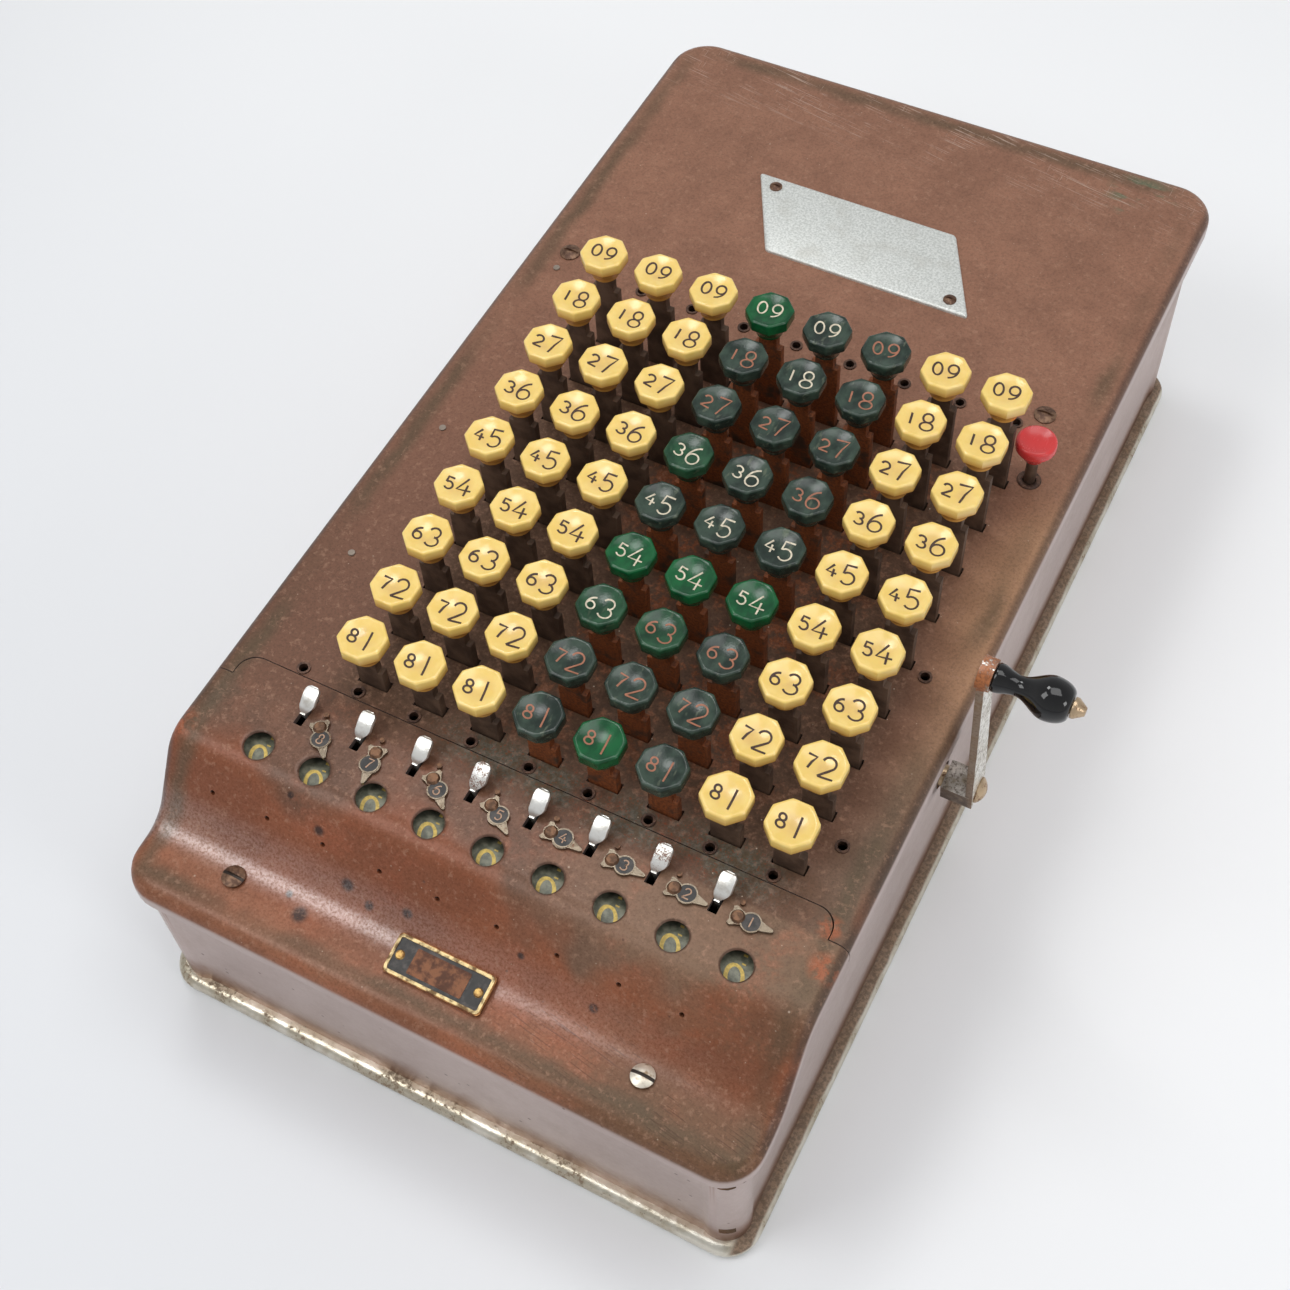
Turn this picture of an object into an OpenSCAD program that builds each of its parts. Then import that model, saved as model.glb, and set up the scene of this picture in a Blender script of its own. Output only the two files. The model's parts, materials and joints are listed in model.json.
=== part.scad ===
/* [Case] */
// Width over the corner posts
case_w = 198; // [192:1:202]
// Depth over the corner posts
case_d = 368; // [364:1:372]
// Thickness of the sheet walls
wall_t = 1.6; // [1:0.1:2.4]
// Radius of the corner posts
post_r = 8; // [6:0.5:10]
// How far the posts stand proud of the walls
post_proud = 0.8; // [0.4:0.1:1.5]
// Height of the base rim
rim_h = 6; // [5:0.5:8]
// How far the base rim reaches past the posts
rim_out = 3.5; // [2:0.5:5]
// Thickness of the base floor inside the walls
floor_t = 4.5; // [2:0.5:5]

/* [Top plate] */
// Height of the upper face of the plate
top_z = 96.3; // [95:0.1:100]
// Thickness of the plate and of the front cover
sheet_t = 2; // [1.6:0.1:2.4]
// How far the top reaches past the posts at each side
top_side = 3.25; // [2.9:0.05:5]
// How far the top reaches past the posts at the back
top_rear = 5.5; // [4:0.5:8]
// Radius of the back corners seen from above
top_corner_r = 14; // [10:1:20]
// Radius of the rolled edge
roll_r = 4; // [3:0.5:6]
// Depth of the skirt below the rolled edge
skirt_h = 4; // [2:0.5:8]

/* [Front cover] */
// Distance of the tongue's back end, where it meets the plate, behind the front posts
seam_y = 68.8; // [68:0.1:69.5]
// How far the outer margins of the seam lie in front of the tongue
seam_step = 8.1; // [6:0.1:10]
// Width of the tongue
tongue_w = 191.4; // [186:0.2:196]
// Radius of the back corners of the tongue
tongue_r = 6; // [4:0.5:8]
// Gap between cover and plate
seam_gap = 0.3; // [0.1:0.1:0.6]
// Distance of the shoulder, where the flat ends, behind the front posts
shoulder_y = 42.5; // [41:0.1:44]
// Radius of the shoulder
shoulder_r = 11; // [9:0.5:13]
// Steepest slope of the ogee, in degrees
ogee_angle = 57; // [52:1:60]
// Radius of the hollow below the shoulder
cove_r = 14; // [11:0.5:16]
// Height of the shelf at the end of the hollow
shelf_z = 70.8; // [69:0.1:73]
// Slope of the shelf, in degrees
shelf_slope = 3; // [1:0.5:6]
// Radius of the rounded nose
nose_r = 6; // [4:0.5:7]
// How far the nose reaches past the front posts
lip_out = 2.7; // [2.4:0.1:4]
// Height of the lower edge of the lip
lip_bottom = 62; // [60:0.5:63]
// Radius of the front corners seen from above
cover_corner_r = 12; // [8:1:16]
// Depth of the side flanges of the cover
flange_h = 6; // [4:0.5:8]

/* [Windows and small holes] */
// Diameter of the sight windows
window_d = 8.9; // [7:0.1:10]
// Distance of the window centres behind the shoulder
window_back = 1.1; // [0:0.1:3]
// Diameter of the small holes on the ogee
pin_hole_d = 1.6; // [1:0.1:2.5]
// Distance of the small holes in front of the windows
pin_hole_front = 14.7; // [13:0.1:16]
// How far the small holes lie to the left of the windows
pin_hole_left = 9.2; // [7:0.1:11]

/* [Keys] */
// Spacing of the columns
column_pitch = 19.05; // [18.5:0.05:19.5]
// Sideways place of the middle of the key field
field_x = 10.75; // [9:0.05:11.5]
// Spacing of the rows
row_pitch = 18.38; // [17.5:0.02:19]
// Distance of the front row behind the front posts
row1_y = 76.6; // [76:0.1:79]
// Height of the front row's cap tops
cap1_top = 120.3; // [118:0.1:126]
// How much each row stands above the one in front of it
row_rise = 2.21; // [1.5:0.01:2.6]
// Width of an octagonal cap across its flats
cap_w = 14; // [13:0.1:16]
// Height of the octagonal part
cap_h = 5; // [4:0.1:6]
// Width of the bevel on its upper edge
cap_bevel = 1.1; // [0.6:0.1:1.6]
// Depth of the finger dish
dish = 0.8; // [0.3:0.1:1.2]
// Height of the round hub below the cap
hub_h = 4.5; // [3:0.1:6]
// Diameter of the hub at its lower end
hub_d = 8.6; // [8:0.1:10]
// Diameter of the hub under the cap
hub_top_d = 11.2; // [10:0.1:12]
// Width of a key stem
stem_w = 9.2; // [8:0.1:10]
// Thickness of a key stem
stem_t = 2.6; // [2:0.1:3.2]
// Width of the neck under the hub
neck_w = 6; // [4:0.1:7]
// Length of the neck
neck_h = 6; // [3:0.5:9]
// Clearance round the stems in their slots
slot_clear = 0.5; // [0.3:0.05:0.8]
// Height of the lower guide's upper face
guide_z = 70; // [66.5:0.5:72]
// Thickness of the lower guide
guide_t = 2; // [1.5:0.1:3]

/* [Column levers] */
// Swing of a lever for one digit, in radians
lever_step = 0.018; // [0.014:0.001:0.02]
// Distance from the back row to the lever pivot
pivot_reach = 45; // [40:1:50]
// Height of the upper edge of the levers
lever_top = 52; // [50:0.5:53]
// Height of a lever bar
lever_h = 8; // [6:0.5:9]
// Thickness of a lever
lever_t = 3; // [2:0.1:4]
// Diameter of the lever shaft
lever_shaft_d = 8; // [6:0.5:9]
// Room between a fully pressed stem and a resting lever
lever_room = 2; // [1:0.5:3]

/* [Numeral wheels] */
// Radius of a wheel
wheel_r = 12.2; // [11:0.1:12.4]
// Width of a wheel rim
wheel_w = 12.5; // [10:0.1:14]
// Gap between the wheels and the cover
wheel_gap = 1.8; // [1.2:0.1:3]
// Diameter of the wheel shaft
wheel_shaft_d = 6; // [4:0.5:7]
// Teeth of the gear beside each wheel
gear_teeth = 20; // [16:1:24]
// Radial clearance of turning parts on their shafts
run_clear = 0.05; // [0.02:0.01:0.1]

/* [Cutoff levers] */
// How far the cutoff levers stand to the left of the columns
cutoff_left = 12.8; // [12.2:0.1:13.2]
// Distance of their shaft behind the wheel shaft
cutoff_back = 23; // [21.5:0.1:23.5]
// Height of their shaft
cutoff_z = 74; // [73.5:0.1:76]
// Diameter of their shaft
cutoff_shaft_d = 5; // [4:0.1:5.5]
// Thickness of a cutoff lever
cutoff_t = 1.6; // [1.2:0.1:2]
// Forward swing of a cutoff lever, in degrees
cutoff_swing = 6; // [4:1:8]
// Width of the finger piece
finger_w = 5.6; // [4:0.1:6]
// Radius of the curve of the finger piece
finger_r = 8; // [7:0.1:9]

/* [Decimal pointers] */
// How far the pointer pivots lie to the left of the columns
pointer_left = 5.7; // [4:0.1:6]
// Distance of the pivots behind the windows
pointer_back = 12.2; // [11.5:0.1:13]
// Length from pivot to tip
pointer_l = 10.4; // [9:0.1:10.6]
// Distance from pivot to the number disc
disc_reach = 3.9; // [3.4:0.1:4.4]
// Thickness of a pointer
pointer_t = 0.9; // [0.6:0.1:1]
// Directions of the pointers from left to right, in degrees from the back
pointer_turn = [141, 171, 133, 125, 97, 92, 93, 89];

/* [Crank] */
// Distance of the pivot behind the front posts
crank_y = 143.6; // [140:0.1:145]
// Height of the pivot
crank_z = 55; // [52:0.5:58]
// Length of the arm from pivot to boss
crank_l = 90.4; // [80:0.2:100]
// Forward lean of the arm at rest, in degrees
crank_lean = 10.8; // [0:0.1:20]
// Gap between the posts and the arm
crank_gap = 8.5; // [6:0.1:10]
// Thickness of the arm
arm_t = 2.2; // [2:0.1:4]
// Width of the arm at the boss
arm_w = 7.2; // [5:0.1:8]
// Width of the arm at its foot
foot_w = 10.6; // [8:0.1:12]
// Diameter of the crank shaft
crank_shaft_d = 7; // [5:0.1:7.5]
// Length of the turned handle
handle_l = 20.9; // [18:0.1:30]
// Largest diameter of the handle
bulb_d = 12.3; // [11:0.1:15]
// Diameter of the handle where it meets the boss
flare_d = 8.2; // [7:0.1:10]
// Diameter of the handle's neck
neck_d = 5.7; // [5:0.1:7]

/* [Release key] */
// Distance of the release key from the outer face of the right posts
release_x = 11.2; // [10.9:0.1:11.4]
// Distance of the release key behind the back row of keys
release_y = 4.9; // [4.6:0.1:10]
// Height of its cap top
release_top = 116; // [112:0.5:120]
// Diameter of its cap
release_d = 12.5; // [11:0.1:14]
// Height of its cap
release_h = 3.4; // [3:0.1:5]
// Height of the taper under its cap
release_taper = 5; // [3:0.1:7]
// Travel of the release key
release_travel = 6; // [4:0.5:7]
// Diameter of its stem
release_stem_d = 4.8; // [4:0.1:5.4]

/* [Plates and fasteners] */
// Width of the name plate
name_w = 73.5; // [60:0.5:80]
// Height of the name plate
name_h = 33.4; // [28:0.2:38]
// Slant of the name plate
name_skew = 17.7; // [10:0.1:22]
// Distance of the name plate's middle behind the back row of keys
name_y = 75.8; // [70:0.2:90]
// Thickness of the name plate and of the tag
label_t = 1.2; // [0.8:0.1:1.6]
// Width of the number tag
tag_w = 31.5; // [26:0.5:36]
// Distance of the tag's front edge from the lip
tag_front = 10.7; // [9:0.1:12]
// Depth of the tag seen from above
tag_d = 11.8; // [10:0.1:12.5]
// Diameter of the case screw heads
screw_d = 7; // [6:0.1:8]
// Diameter of the case screw shanks
shank_d = 3.4; // [3:0.1:4]
// Outer diameter of the eyelets
eyelet_d = 4.2; // [3.6:0.1:5]

/* [Hidden] */
$fn = 48;

rows = 9;
columns = 8;
copper = [0.55, 0.36, 0.27];
nickel = [0.74, 0.71, 0.64];
steel = [0.45, 0.41, 0.38];
cream = [0.95, 0.83, 0.52];
green = [0.05, 0.28, 0.2];

// Outer faces of the posts, the top and the cover
side_x = case_w / 2;
front_y = -case_d / 2;
top_x = side_x + top_side;
top_y = case_d / 2 + top_rear;
lip_y = front_y - lip_out;
under_z = top_z - sheet_t;
seam_at = front_y + seam_y;
shoulder_at = front_y + shoulder_y;
row1_at = front_y + row1_y;
crank_at = front_y + crank_y;
margin_y = seam_at - seam_step;
wall_x = side_x - post_proud;
wall_ledge = 1.5;

// Places of the columns, rows, windows and wheels
function column_x(c) = field_x + (c - (columns - 1) / 2) * column_pitch;
function wheel_x(i) = column_x(i - 1);
function row_y(n) = row1_at + (n - 1) * row_pitch;
function cap_top(n) = cap1_top + (n - 1) * row_rise;
function cap_bottom(n) = cap_top(n) - cap_h - hub_h;
release_at_x = side_x - release_x;
release_at = row_y(rows) + release_y;
name_at = row_y(rows) + name_y;
window_y = shoulder_at + window_back;
wheel_y = window_y;
wheel_z = under_z - wheel_gap - wheel_r;

// Lever geometry: a key further from the pivot and of a higher digit travels further
pivot_y = row_y(rows) + pivot_reach;
pivot_z = lever_top - lever_h / 2;
function stroke(n) = lever_step * n * (pivot_reach + (rows - n) * row_pitch);
function stem_bottom(n) = lever_top + lever_room + stroke(n);
lever_front = row1_at - 8;
lever_hub_r = lever_shaft_d / 2 + 4;

// Side frames that carry the shafts and the top plate
frame_t = 2.5;
frame_in = side_x - post_proud - wall_t - frame_t - 3.1;
frame_front = wheel_y - 7;
frame_back = pivot_y + 15;
frame_step_y = seam_at + 3;
frame_low_z = wheel_z + 9;
tab_w = 16;
tab_d = 14;
tab_t = 3;
plate_screws = [[3 - frame_in, row_y(rows) + 30.4], [frame_in - tab_w / 2, row_y(rows) + 31.4]];
cover_screw_x = [-69.5, 64];
cover_screw_y = lip_y + 16;
lug_w = 14;
lug_t = 3;

// Cutoff levers
cutoff_y = wheel_y + cutoff_back;
cutoff_reach = 9;
cutoff_play = 0.6;
cutoff_slot_front = cutoff_play + 0.45 + (top_z - cutoff_z) * sin(cutoff_swing);

// Crank
arm_x = side_x + crank_gap;
boss_y = crank_at - crank_l * sin(crank_lean);
boss_z = crank_z + crank_l * cos(crank_lean);
boss_r = 4.6;
boss_proud = 1.3;
spindle_r = 1.9;
handle_x = arm_x + arm_t + boss_proud + 0.2;

// Ogee outline of the front cover, from the tongue to the lip
function normal(a) = [-sin(a), cos(a)];
function along(a) = [-cos(a), -sin(a)];
function bend(centre, r, a0, a1, steps) =
    [for (i = [0:steps]) centre + r * normal(a0 + (a1 - a0) * i / steps)];
shoulder_c = [shoulder_at, top_z - shoulder_r];
shoulder_end = shoulder_c + shoulder_r * normal(ogee_angle);
ramp_drop = top_z - shelf_z - shoulder_r * (1 - cos(ogee_angle))
    - cove_r * (cos(shelf_slope) - cos(ogee_angle));
ramp_end = shoulder_end + ramp_drop / sin(ogee_angle) * along(ogee_angle);
cove_c = ramp_end + cove_r * normal(ogee_angle);
cove_end = cove_c - cove_r * normal(shelf_slope);
nose_start_y = lip_y + nose_r - nose_r * sin(shelf_slope);
shelf_end = cove_end + (cove_end.x - nose_start_y) / cos(shelf_slope) * along(shelf_slope);
nose_c = shelf_end - nose_r * normal(shelf_slope);
function skin(depth) = concat(
    [[seam_at, top_z - depth]],
    bend(shoulder_c, shoulder_r - depth, 0, ogee_angle, 10),
    bend(cove_c, -cove_r - depth, ogee_angle, shelf_slope, 10),
    bend(nose_c, nose_r - depth, shelf_slope, 90, 10),
    [[lip_y + depth, lip_bottom]]);
function cove_z(y) = cove_c.y - sqrt(cove_r * cove_r - (y - cove_c.x) * (y - cove_c.x));
function shelf_at(y) = cove_end.y + (y - cove_end.x) * tan(shelf_slope);
function ramp_z(y) = shoulder_end.y + (y - shoulder_end.x) * tan(ogee_angle);
lug_z = shelf_at(lip_y + nose_r) - sheet_t - 0.4;
function backwards(points) = [for (i = [len(points) - 1:-1:0]) points[i]];

module along_x(w, x = 0) {
    translate([x, 0, 0])
        rotate([90, 0, 90])
            linear_extrude(w, center = true)
                children();
}

module rod_x(x0, x1, r) {
    translate([x0, 0, 0])
        rotate([0, 90, 0])
            cylinder(r = r, h = x1 - x0);
}

module rounded(w, d, r) {
    square([w, d - 2 * r], center = true);
    square([w - 2 * r, d], center = true);
    for (x = [-1, 1], y = [-1, 1])
        translate([x * (w / 2 - r), y * (d / 2 - r)])
            circle(r);
}

module ring_edge(w, d, r) {
    for (x = [0, 1], y = [0, 1])
        translate([(x - 0.5) * (w - 2 * r), (y - 0.5) * (d - 2 * r), 0])
            rotate([0, 0, x == 1 ? (y == 1 ? 0 : 270) : (y == 1 ? 90 : 180)])
                rotate_extrude(angle = 90)
                    translate([r, 0])
                        children();
    for (s = [-1, 1]) {
        translate([s * w / 2, 0, 0])
            rotate([90, 0, s == 1 ? 0 : 180])
                linear_extrude(d - 2 * r, center = true)
                    children();
        translate([0, s * d / 2, 0])
            rotate([90, 0, s == 1 ? 90 : 270])
                linear_extrude(w - 2 * r, center = true)
                    children();
    }
}

module base_plate() {
    bead = rim_h / 2;
    w = case_w + 2 * rim_out - 2 * bead;
    d = case_d + 2 * rim_out - 2 * bead;
    inside_w = 2 * (wall_x - wall_t - wall_ledge);
    inside_d = case_d - 2 * (post_proud + wall_t + wall_ledge);
    color(nickel)
    difference() {
        union() {
            linear_extrude(rim_h)
                rounded(w, d, post_r);
            ring_edge(w, d, post_r)
                translate([0, bead])
                    circle(bead);
        }
        translate([0, 0, floor_t])
            linear_extrude(rim_h)
                rounded(inside_w, inside_d, post_r - wall_t - wall_ledge);
    }
}

module wall_outline(inset) {
    square([case_w - 2 * post_proud - 2 * inset, case_d - 2 * post_r], center = true);
    square([case_w - 2 * post_r, case_d - 2 * post_proud - 2 * inset], center = true);
    for (x = [-1, 1], y = [-1, 1])
        translate([x * (case_w / 2 - post_r), y * (case_d / 2 - post_r)])
            circle(post_r - inset);
}

module case_shell() {
    dent_c = [side_x - post_r, front_y + post_r];
    dent_r = 2.4;
    lug_d = cover_screw_y - front_y + 6;
    color(copper) {
        difference() {
            translate([0, 0, rim_h])
                linear_extrude(under_z - rim_h)
                    difference() {
                        wall_outline(0);
                        wall_outline(wall_t);
                    }
            along_x(2 * case_w)
                polygon(concat(skin(sheet_t), [[2 * lip_y, lip_bottom], [2 * lip_y, 2 * top_z],
                                               [seam_at, 2 * top_z]]));
            translate([side_x - post_r, crank_at, crank_z])
                rod_x(0, 2 * post_r, crank_shaft_d / 2 + 1.2);
            for (z = [rim_h + 9, lip_bottom - 7])
                translate([dent_c.x, dent_c.y, z])
                    rotate([0, 0, -60])
                        translate([post_r + 1.2, 0, 0])
                            rotate([90, 0, 0])
                                cylinder(r = dent_r, h = 5, center = true);
        }
        for (x = cover_screw_x)
            difference() {
                translate([x - lug_w / 2, front_y + post_proud + wall_t, lug_z - lug_t])
                    cube([lug_w, lug_d - post_proud - wall_t, lug_t]);
                translate([x, cover_screw_y, lug_z - lug_t - 1])
                    cylinder(d = shank_d, h = lug_t + 2);
            }
    }
}

module cover_plan(grow) {
    w = 2 * top_x;
    tongue = tongue_w + 2 * grow;
    difference() {
        translate([0, (lip_y + seam_at + grow) / 2])
            square([tongue, seam_at + grow - lip_y], center = true);
        for (s = [-1, 1])
            translate([s * tongue / 2, seam_at + grow])
                difference() {
                    square(2 * tongue_r, center = true);
                    translate([-s * tongue_r, -tongue_r])
                        circle(tongue_r);
                    translate([-s * tongue_r * 1.5, 0])
                        square([tongue_r, 2 * tongue_r], center = true);
                }
    }
    translate([-w / 2 - grow, lip_y + cover_corner_r])
        square([w + 2 * grow, margin_y + grow - lip_y - cover_corner_r]);
    translate([-w / 2 + cover_corner_r, lip_y])
        square([w - 2 * cover_corner_r, cover_corner_r + 1]);
    for (s = [-1, 1])
        translate([s * (w / 2 - cover_corner_r), lip_y + cover_corner_r])
            circle(cover_corner_r);
}

module plate_outline() {
    r = top_corner_r - roll_r;
    w = 2 * (top_x - roll_r);
    difference() {
        translate([-w / 2, margin_y])
            square([w, top_y - roll_r - r - margin_y]);
        cover_plan(seam_gap);
    }
    translate([-w / 2 + r, 0])
        square([w - 2 * r, top_y - roll_r]);
    for (s = [-1, 1])
        translate([s * (w / 2 - r), top_y - roll_r - r])
            circle(r);
}

module roll_section() {
    difference() {
        intersection() {
            translate([0, -roll_r])
                circle(roll_r);
            translate([0, -roll_r])
                square(roll_r);
        }
        translate([0, -roll_r])
            circle(roll_r - sheet_t);
    }
    translate([roll_r - sheet_t, -roll_r - skirt_h])
        square([sheet_t, skirt_h]);
}

module stem_slots(h) {
    for (c = [0:columns - 1], n = [1:rows])
        translate([column_x(c), row_y(n), 0])
            linear_extrude(h)
                square([stem_w + 2 * slot_clear, stem_t + 2 * slot_clear], center = true);
}

front_eyelets = [for (i = [0:columns]) [wheel_x(i) - 2.6, row1_at - 5.3]];
back_eyelets = [for (c = [0:columns - 1]) [column_x(c) - 1.4, row_y(rows) + 24.5]];
side_eyelets = [[side_x - 12, crank_at + 4.4], [side_x - 11, row1_at + 11.1]];
eyelets = concat(front_eyelets, back_eyelets, side_eyelets);
frame_pins = [[11.4 - side_x, crank_at + 24.4], [11.6 - side_x, row1_at + 36.5], [10.3 - side_x, row_y(rows) + 22]];
frame_pin_d = 2.2;
eyelet_hole_d = eyelet_d - 1.4;

module top_plate() {
    r = top_corner_r - roll_r;
    color(copper)
    difference() {
        union() {
            translate([0, 0, under_z])
                linear_extrude(sheet_t)
                    plate_outline();
            intersection() {
                translate([0, 0, top_z])
                    ring_edge(2 * (top_x - roll_r), 2 * (top_y - roll_r), r)
                        roll_section();
                translate([-case_w, margin_y + seam_gap, 0])
                    cube([2 * case_w, case_d, 2 * top_z]);
            }
        }
        translate([0, 0, under_z - 1])
            stem_slots(sheet_t + 2);
        for (p = eyelets)
            translate([p.x, p.y, under_z - 1])
                cylinder(d = eyelet_d - 0.6, h = sheet_t + 2);
        for (p = frame_pins)
            translate([p.x, p.y, under_z - 1])
                cylinder(d = frame_pin_d, h = sheet_t + 2);
        for (p = plate_screws)
            translate([p.x, p.y, under_z - 1])
                cylinder(d = shank_d + 0.4, h = sheet_t + 2);
        translate([release_at_x, release_at, under_z - 1])
            cylinder(d = release_stem_d + 2 * slot_clear, h = sheet_t + 2);
        for (p = name_screws())
            translate([p.x, p.y, under_z - 1])
                cylinder(d = 2, h = sheet_t + 2);
    }
}

function pointer_x(c) = column_x(c) - pointer_left;
pointer_y = window_y + pointer_back;
rivet_d = 3;
function cutoff_x(c) = column_x(c) - cutoff_left;

module front_cover() {
    slot_l = cutoff_slot_front + 6.4;
    color(copper)
    difference() {
        intersection() {
            union() {
                along_x(2 * top_x)
                    polygon(concat(skin(0), backwards(skin(sheet_t))));
                for (s = [-1, 1])
                    along_x(sheet_t, s * (top_x - sheet_t / 2))
                        polygon(concat(skin(0), [for (p = backwards(skin(0)))
                                                     [p.x, max(p.y - flange_h, lip_bottom - 0.2)]]));
            }
            translate([0, 0, lip_bottom])
                linear_extrude(2 * top_z)
                    cover_plan(0);
        }
        for (i = [0:columns]) {
            translate([wheel_x(i), window_y, under_z - 6])
                cylinder(d = window_d, h = sheet_t + 12);
            translate([wheel_x(i) - pin_hole_left, window_y - pin_hole_front, ramp_z(window_y - pin_hole_front)])
                rotate([ogee_angle, 0, 0])
                    cylinder(d = pin_hole_d, h = 4 * sheet_t, center = true);
        }
        for (c = [0:columns - 1]) {
            translate([cutoff_x(c), cutoff_y - cutoff_reach - cutoff_slot_front + slot_l / 2, top_z])
                cube([cutoff_t + 2 * cutoff_play, slot_l, 4 * sheet_t], center = true);
            translate([pointer_x(c), pointer_y, under_z - 1])
                cylinder(d = rivet_d, h = sheet_t + 2);
            translate(stop_place(c))
                cylinder(d = stop_d, h = 4 * sheet_t, center = true);
        }
        for (x = cover_screw_x)
            translate([x, cover_screw_y, shelf_z - 4])
                cylinder(d = shank_d + 0.4, h = 8);
        for (x = tag_rivet_x())
            translate([x, tag_y, tag_z()])
                rotate([tag_tilt(), 0, 0])
                    cylinder(d = 1.6, h = 8, center = true);
    }
}

module slotted_head(d, h) {
    difference() {
        intersection() {
            cylinder(d = d, h = h);
            translate([0, 0, h - d])
                sphere(d);
        }
        translate([0, 0, h])
            cube([d + 1, d / 7, h], center = true);
    }
}

module case_screws() {
    head_z = cove_z(cover_screw_y + screw_d / 2);
    color(steel) {
        for (p = plate_screws)
            translate([p.x, p.y, top_z]) {
                slotted_head(screw_d, 1.4);
                translate([0, 0, -sheet_t - tab_t])
                    cylinder(d = shank_d, h = sheet_t + tab_t);
            }
        for (x = cover_screw_x)
            translate([x, cover_screw_y, 0]) {
                translate([0, 0, head_z])
                    slotted_head(screw_d, 1.4);
                translate([0, 0, lug_z - lug_t])
                    cylinder(d = shank_d, h = head_z - lug_z + lug_t);
            }
        for (p = name_screws())
            translate([p.x, p.y, top_z + label_t]) {
                slotted_head(4.4, 0.9);
                translate([0, 0, -label_t - sheet_t])
                    cylinder(d = 2, h = label_t + sheet_t);
            }
    }
}

function name_screws() = [for (s = [-1, 1])
    [s * (name_w / 2 + name_skew / 2 - 8.2), name_at - s * (name_h / 2 - 4.6)]];

module name_plate() {
    color(nickel)
    translate([0, name_at, top_z])
        linear_extrude(label_t)
            difference() {
                polygon([[-name_w / 2 - name_skew / 2, name_h / 2], [name_w / 2 - name_skew / 2, name_h / 2],
                         [name_w / 2 + name_skew / 2, -name_h / 2], [-name_w / 2 + name_skew / 2, -name_h / 2]]);
                for (p = name_screws())
                    translate([p.x, p.y - name_at])
                        circle(d = 2);
            }
}

// The tag bridges the hollow between these two points of the ogee
tag_low = [lip_y + tag_front, shelf_at(lip_y + tag_front)];
tag_high = [tag_low.x + tag_d, cove_z(tag_low.x + tag_d)];
tag_y = (tag_low.x + tag_high.x) / 2;
function tag_z() = (tag_low.y + tag_high.y) / 2;
function tag_tilt() = atan2(tag_high.y - tag_low.y, tag_high.x - tag_low.x);
function tag_rivet_x() = [-tag_w / 2 + 3, tag_w / 2 - 3];

module number_tag() {
    color("goldenrod")
    translate([0, tag_y, tag_z()])
        rotate([tag_tilt(), 0, 0])
            linear_extrude(label_t)
                difference() {
                    rounded(tag_w, tag_d / cos(tag_tilt()), 1.2);
                    for (x = tag_rivet_x())
                        translate([x, 0])
                            circle(d = 1.6);
                }
}

stop_d = 1.6;
pointer_lift = 0.2;
function stop_place(c) = [pointer_x(c) - 0.6, pointer_y + 4.4, top_z];

module plate_rivets() {
    color("peru") {
        for (p = eyelets)
            translate([p.x, p.y, under_z])
                difference() {
                    union() {
                        cylinder(d = eyelet_d - 0.6, h = sheet_t);
                        translate([0, 0, sheet_t])
                            cylinder(d = eyelet_d, h = 0.5);
                    }
                    translate([0, 0, -1])
                        cylinder(d = eyelet_hole_d, h = sheet_t + 3);
                }
        for (p = frame_pins)
            translate([p.x, p.y, under_z])
                cylinder(d = frame_pin_d, h = sheet_t + 0.5);
        for (c = [0:columns - 1]) {
            translate([pointer_x(c), pointer_y, under_z])
                cylinder(d = rivet_d, h = sheet_t + pointer_lift + pointer_t + 0.1);
            translate([pointer_x(c), pointer_y, top_z + pointer_lift + pointer_t + 0.1])
                cylinder(d1 = rivet_d + 1, d2 = rivet_d, h = 0.7);
            translate(stop_place(c))
                translate([0, 0, -sheet_t])
                    cylinder(d = stop_d, h = sheet_t + 1.2);
        }
        for (x = tag_rivet_x())
            translate([x, tag_y, tag_z()])
                rotate([tag_tilt(), 0, 0]) {
                    translate([0, 0, -1])
                        cylinder(d = 1.6, h = label_t + 1);
                    translate([0, 0, label_t])
                        cylinder(d1 = 3, d2 = 2.2, h = 0.6);
                }
    }
}

module frame_outline() {
    difference() {
        polygon([[frame_front, floor_t], [frame_back, floor_t], [frame_back, under_z],
                 [frame_step_y, under_z], [frame_step_y, frame_low_z], [frame_front, frame_low_z]]);
        translate([wheel_y, wheel_z])
            circle(d = wheel_shaft_d);
        translate([cutoff_y, cutoff_z])
            circle(d = cutoff_shaft_d);
        translate([pivot_y, pivot_z])
            circle(d = lever_shaft_d);
        translate([crank_at, crank_z])
            circle(d = crank_shaft_d + 2 * run_clear);
    }
}

module side_frames() {
    color(steel)
    for (i = [0, 1]) {
        s = 2 * i - 1;
        along_x(frame_t, s * (frame_in + frame_t / 2))
            frame_outline();
        difference() {
            translate([s * (frame_in - tab_w / 2), plate_screws[i].y, under_z - tab_t / 2])
                cube([tab_w, tab_d, tab_t], center = true);
            translate([plate_screws[i].x, plate_screws[i].y, under_z - tab_t - 1])
                cylinder(d = shank_d, h = tab_t + 2);
        }
    }
}

module key_guide() {
    y0 = row1_at - 5;
    color(steel)
    translate([0, 0, guide_z - guide_t])
        difference() {
            translate([-frame_in, y0, 0])
                cube([2 * frame_in, row_y(rows) + 6 - y0, guide_t]);
            translate([0, 0, -1])
                stem_slots(guide_t + 2);
        }
}

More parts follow.
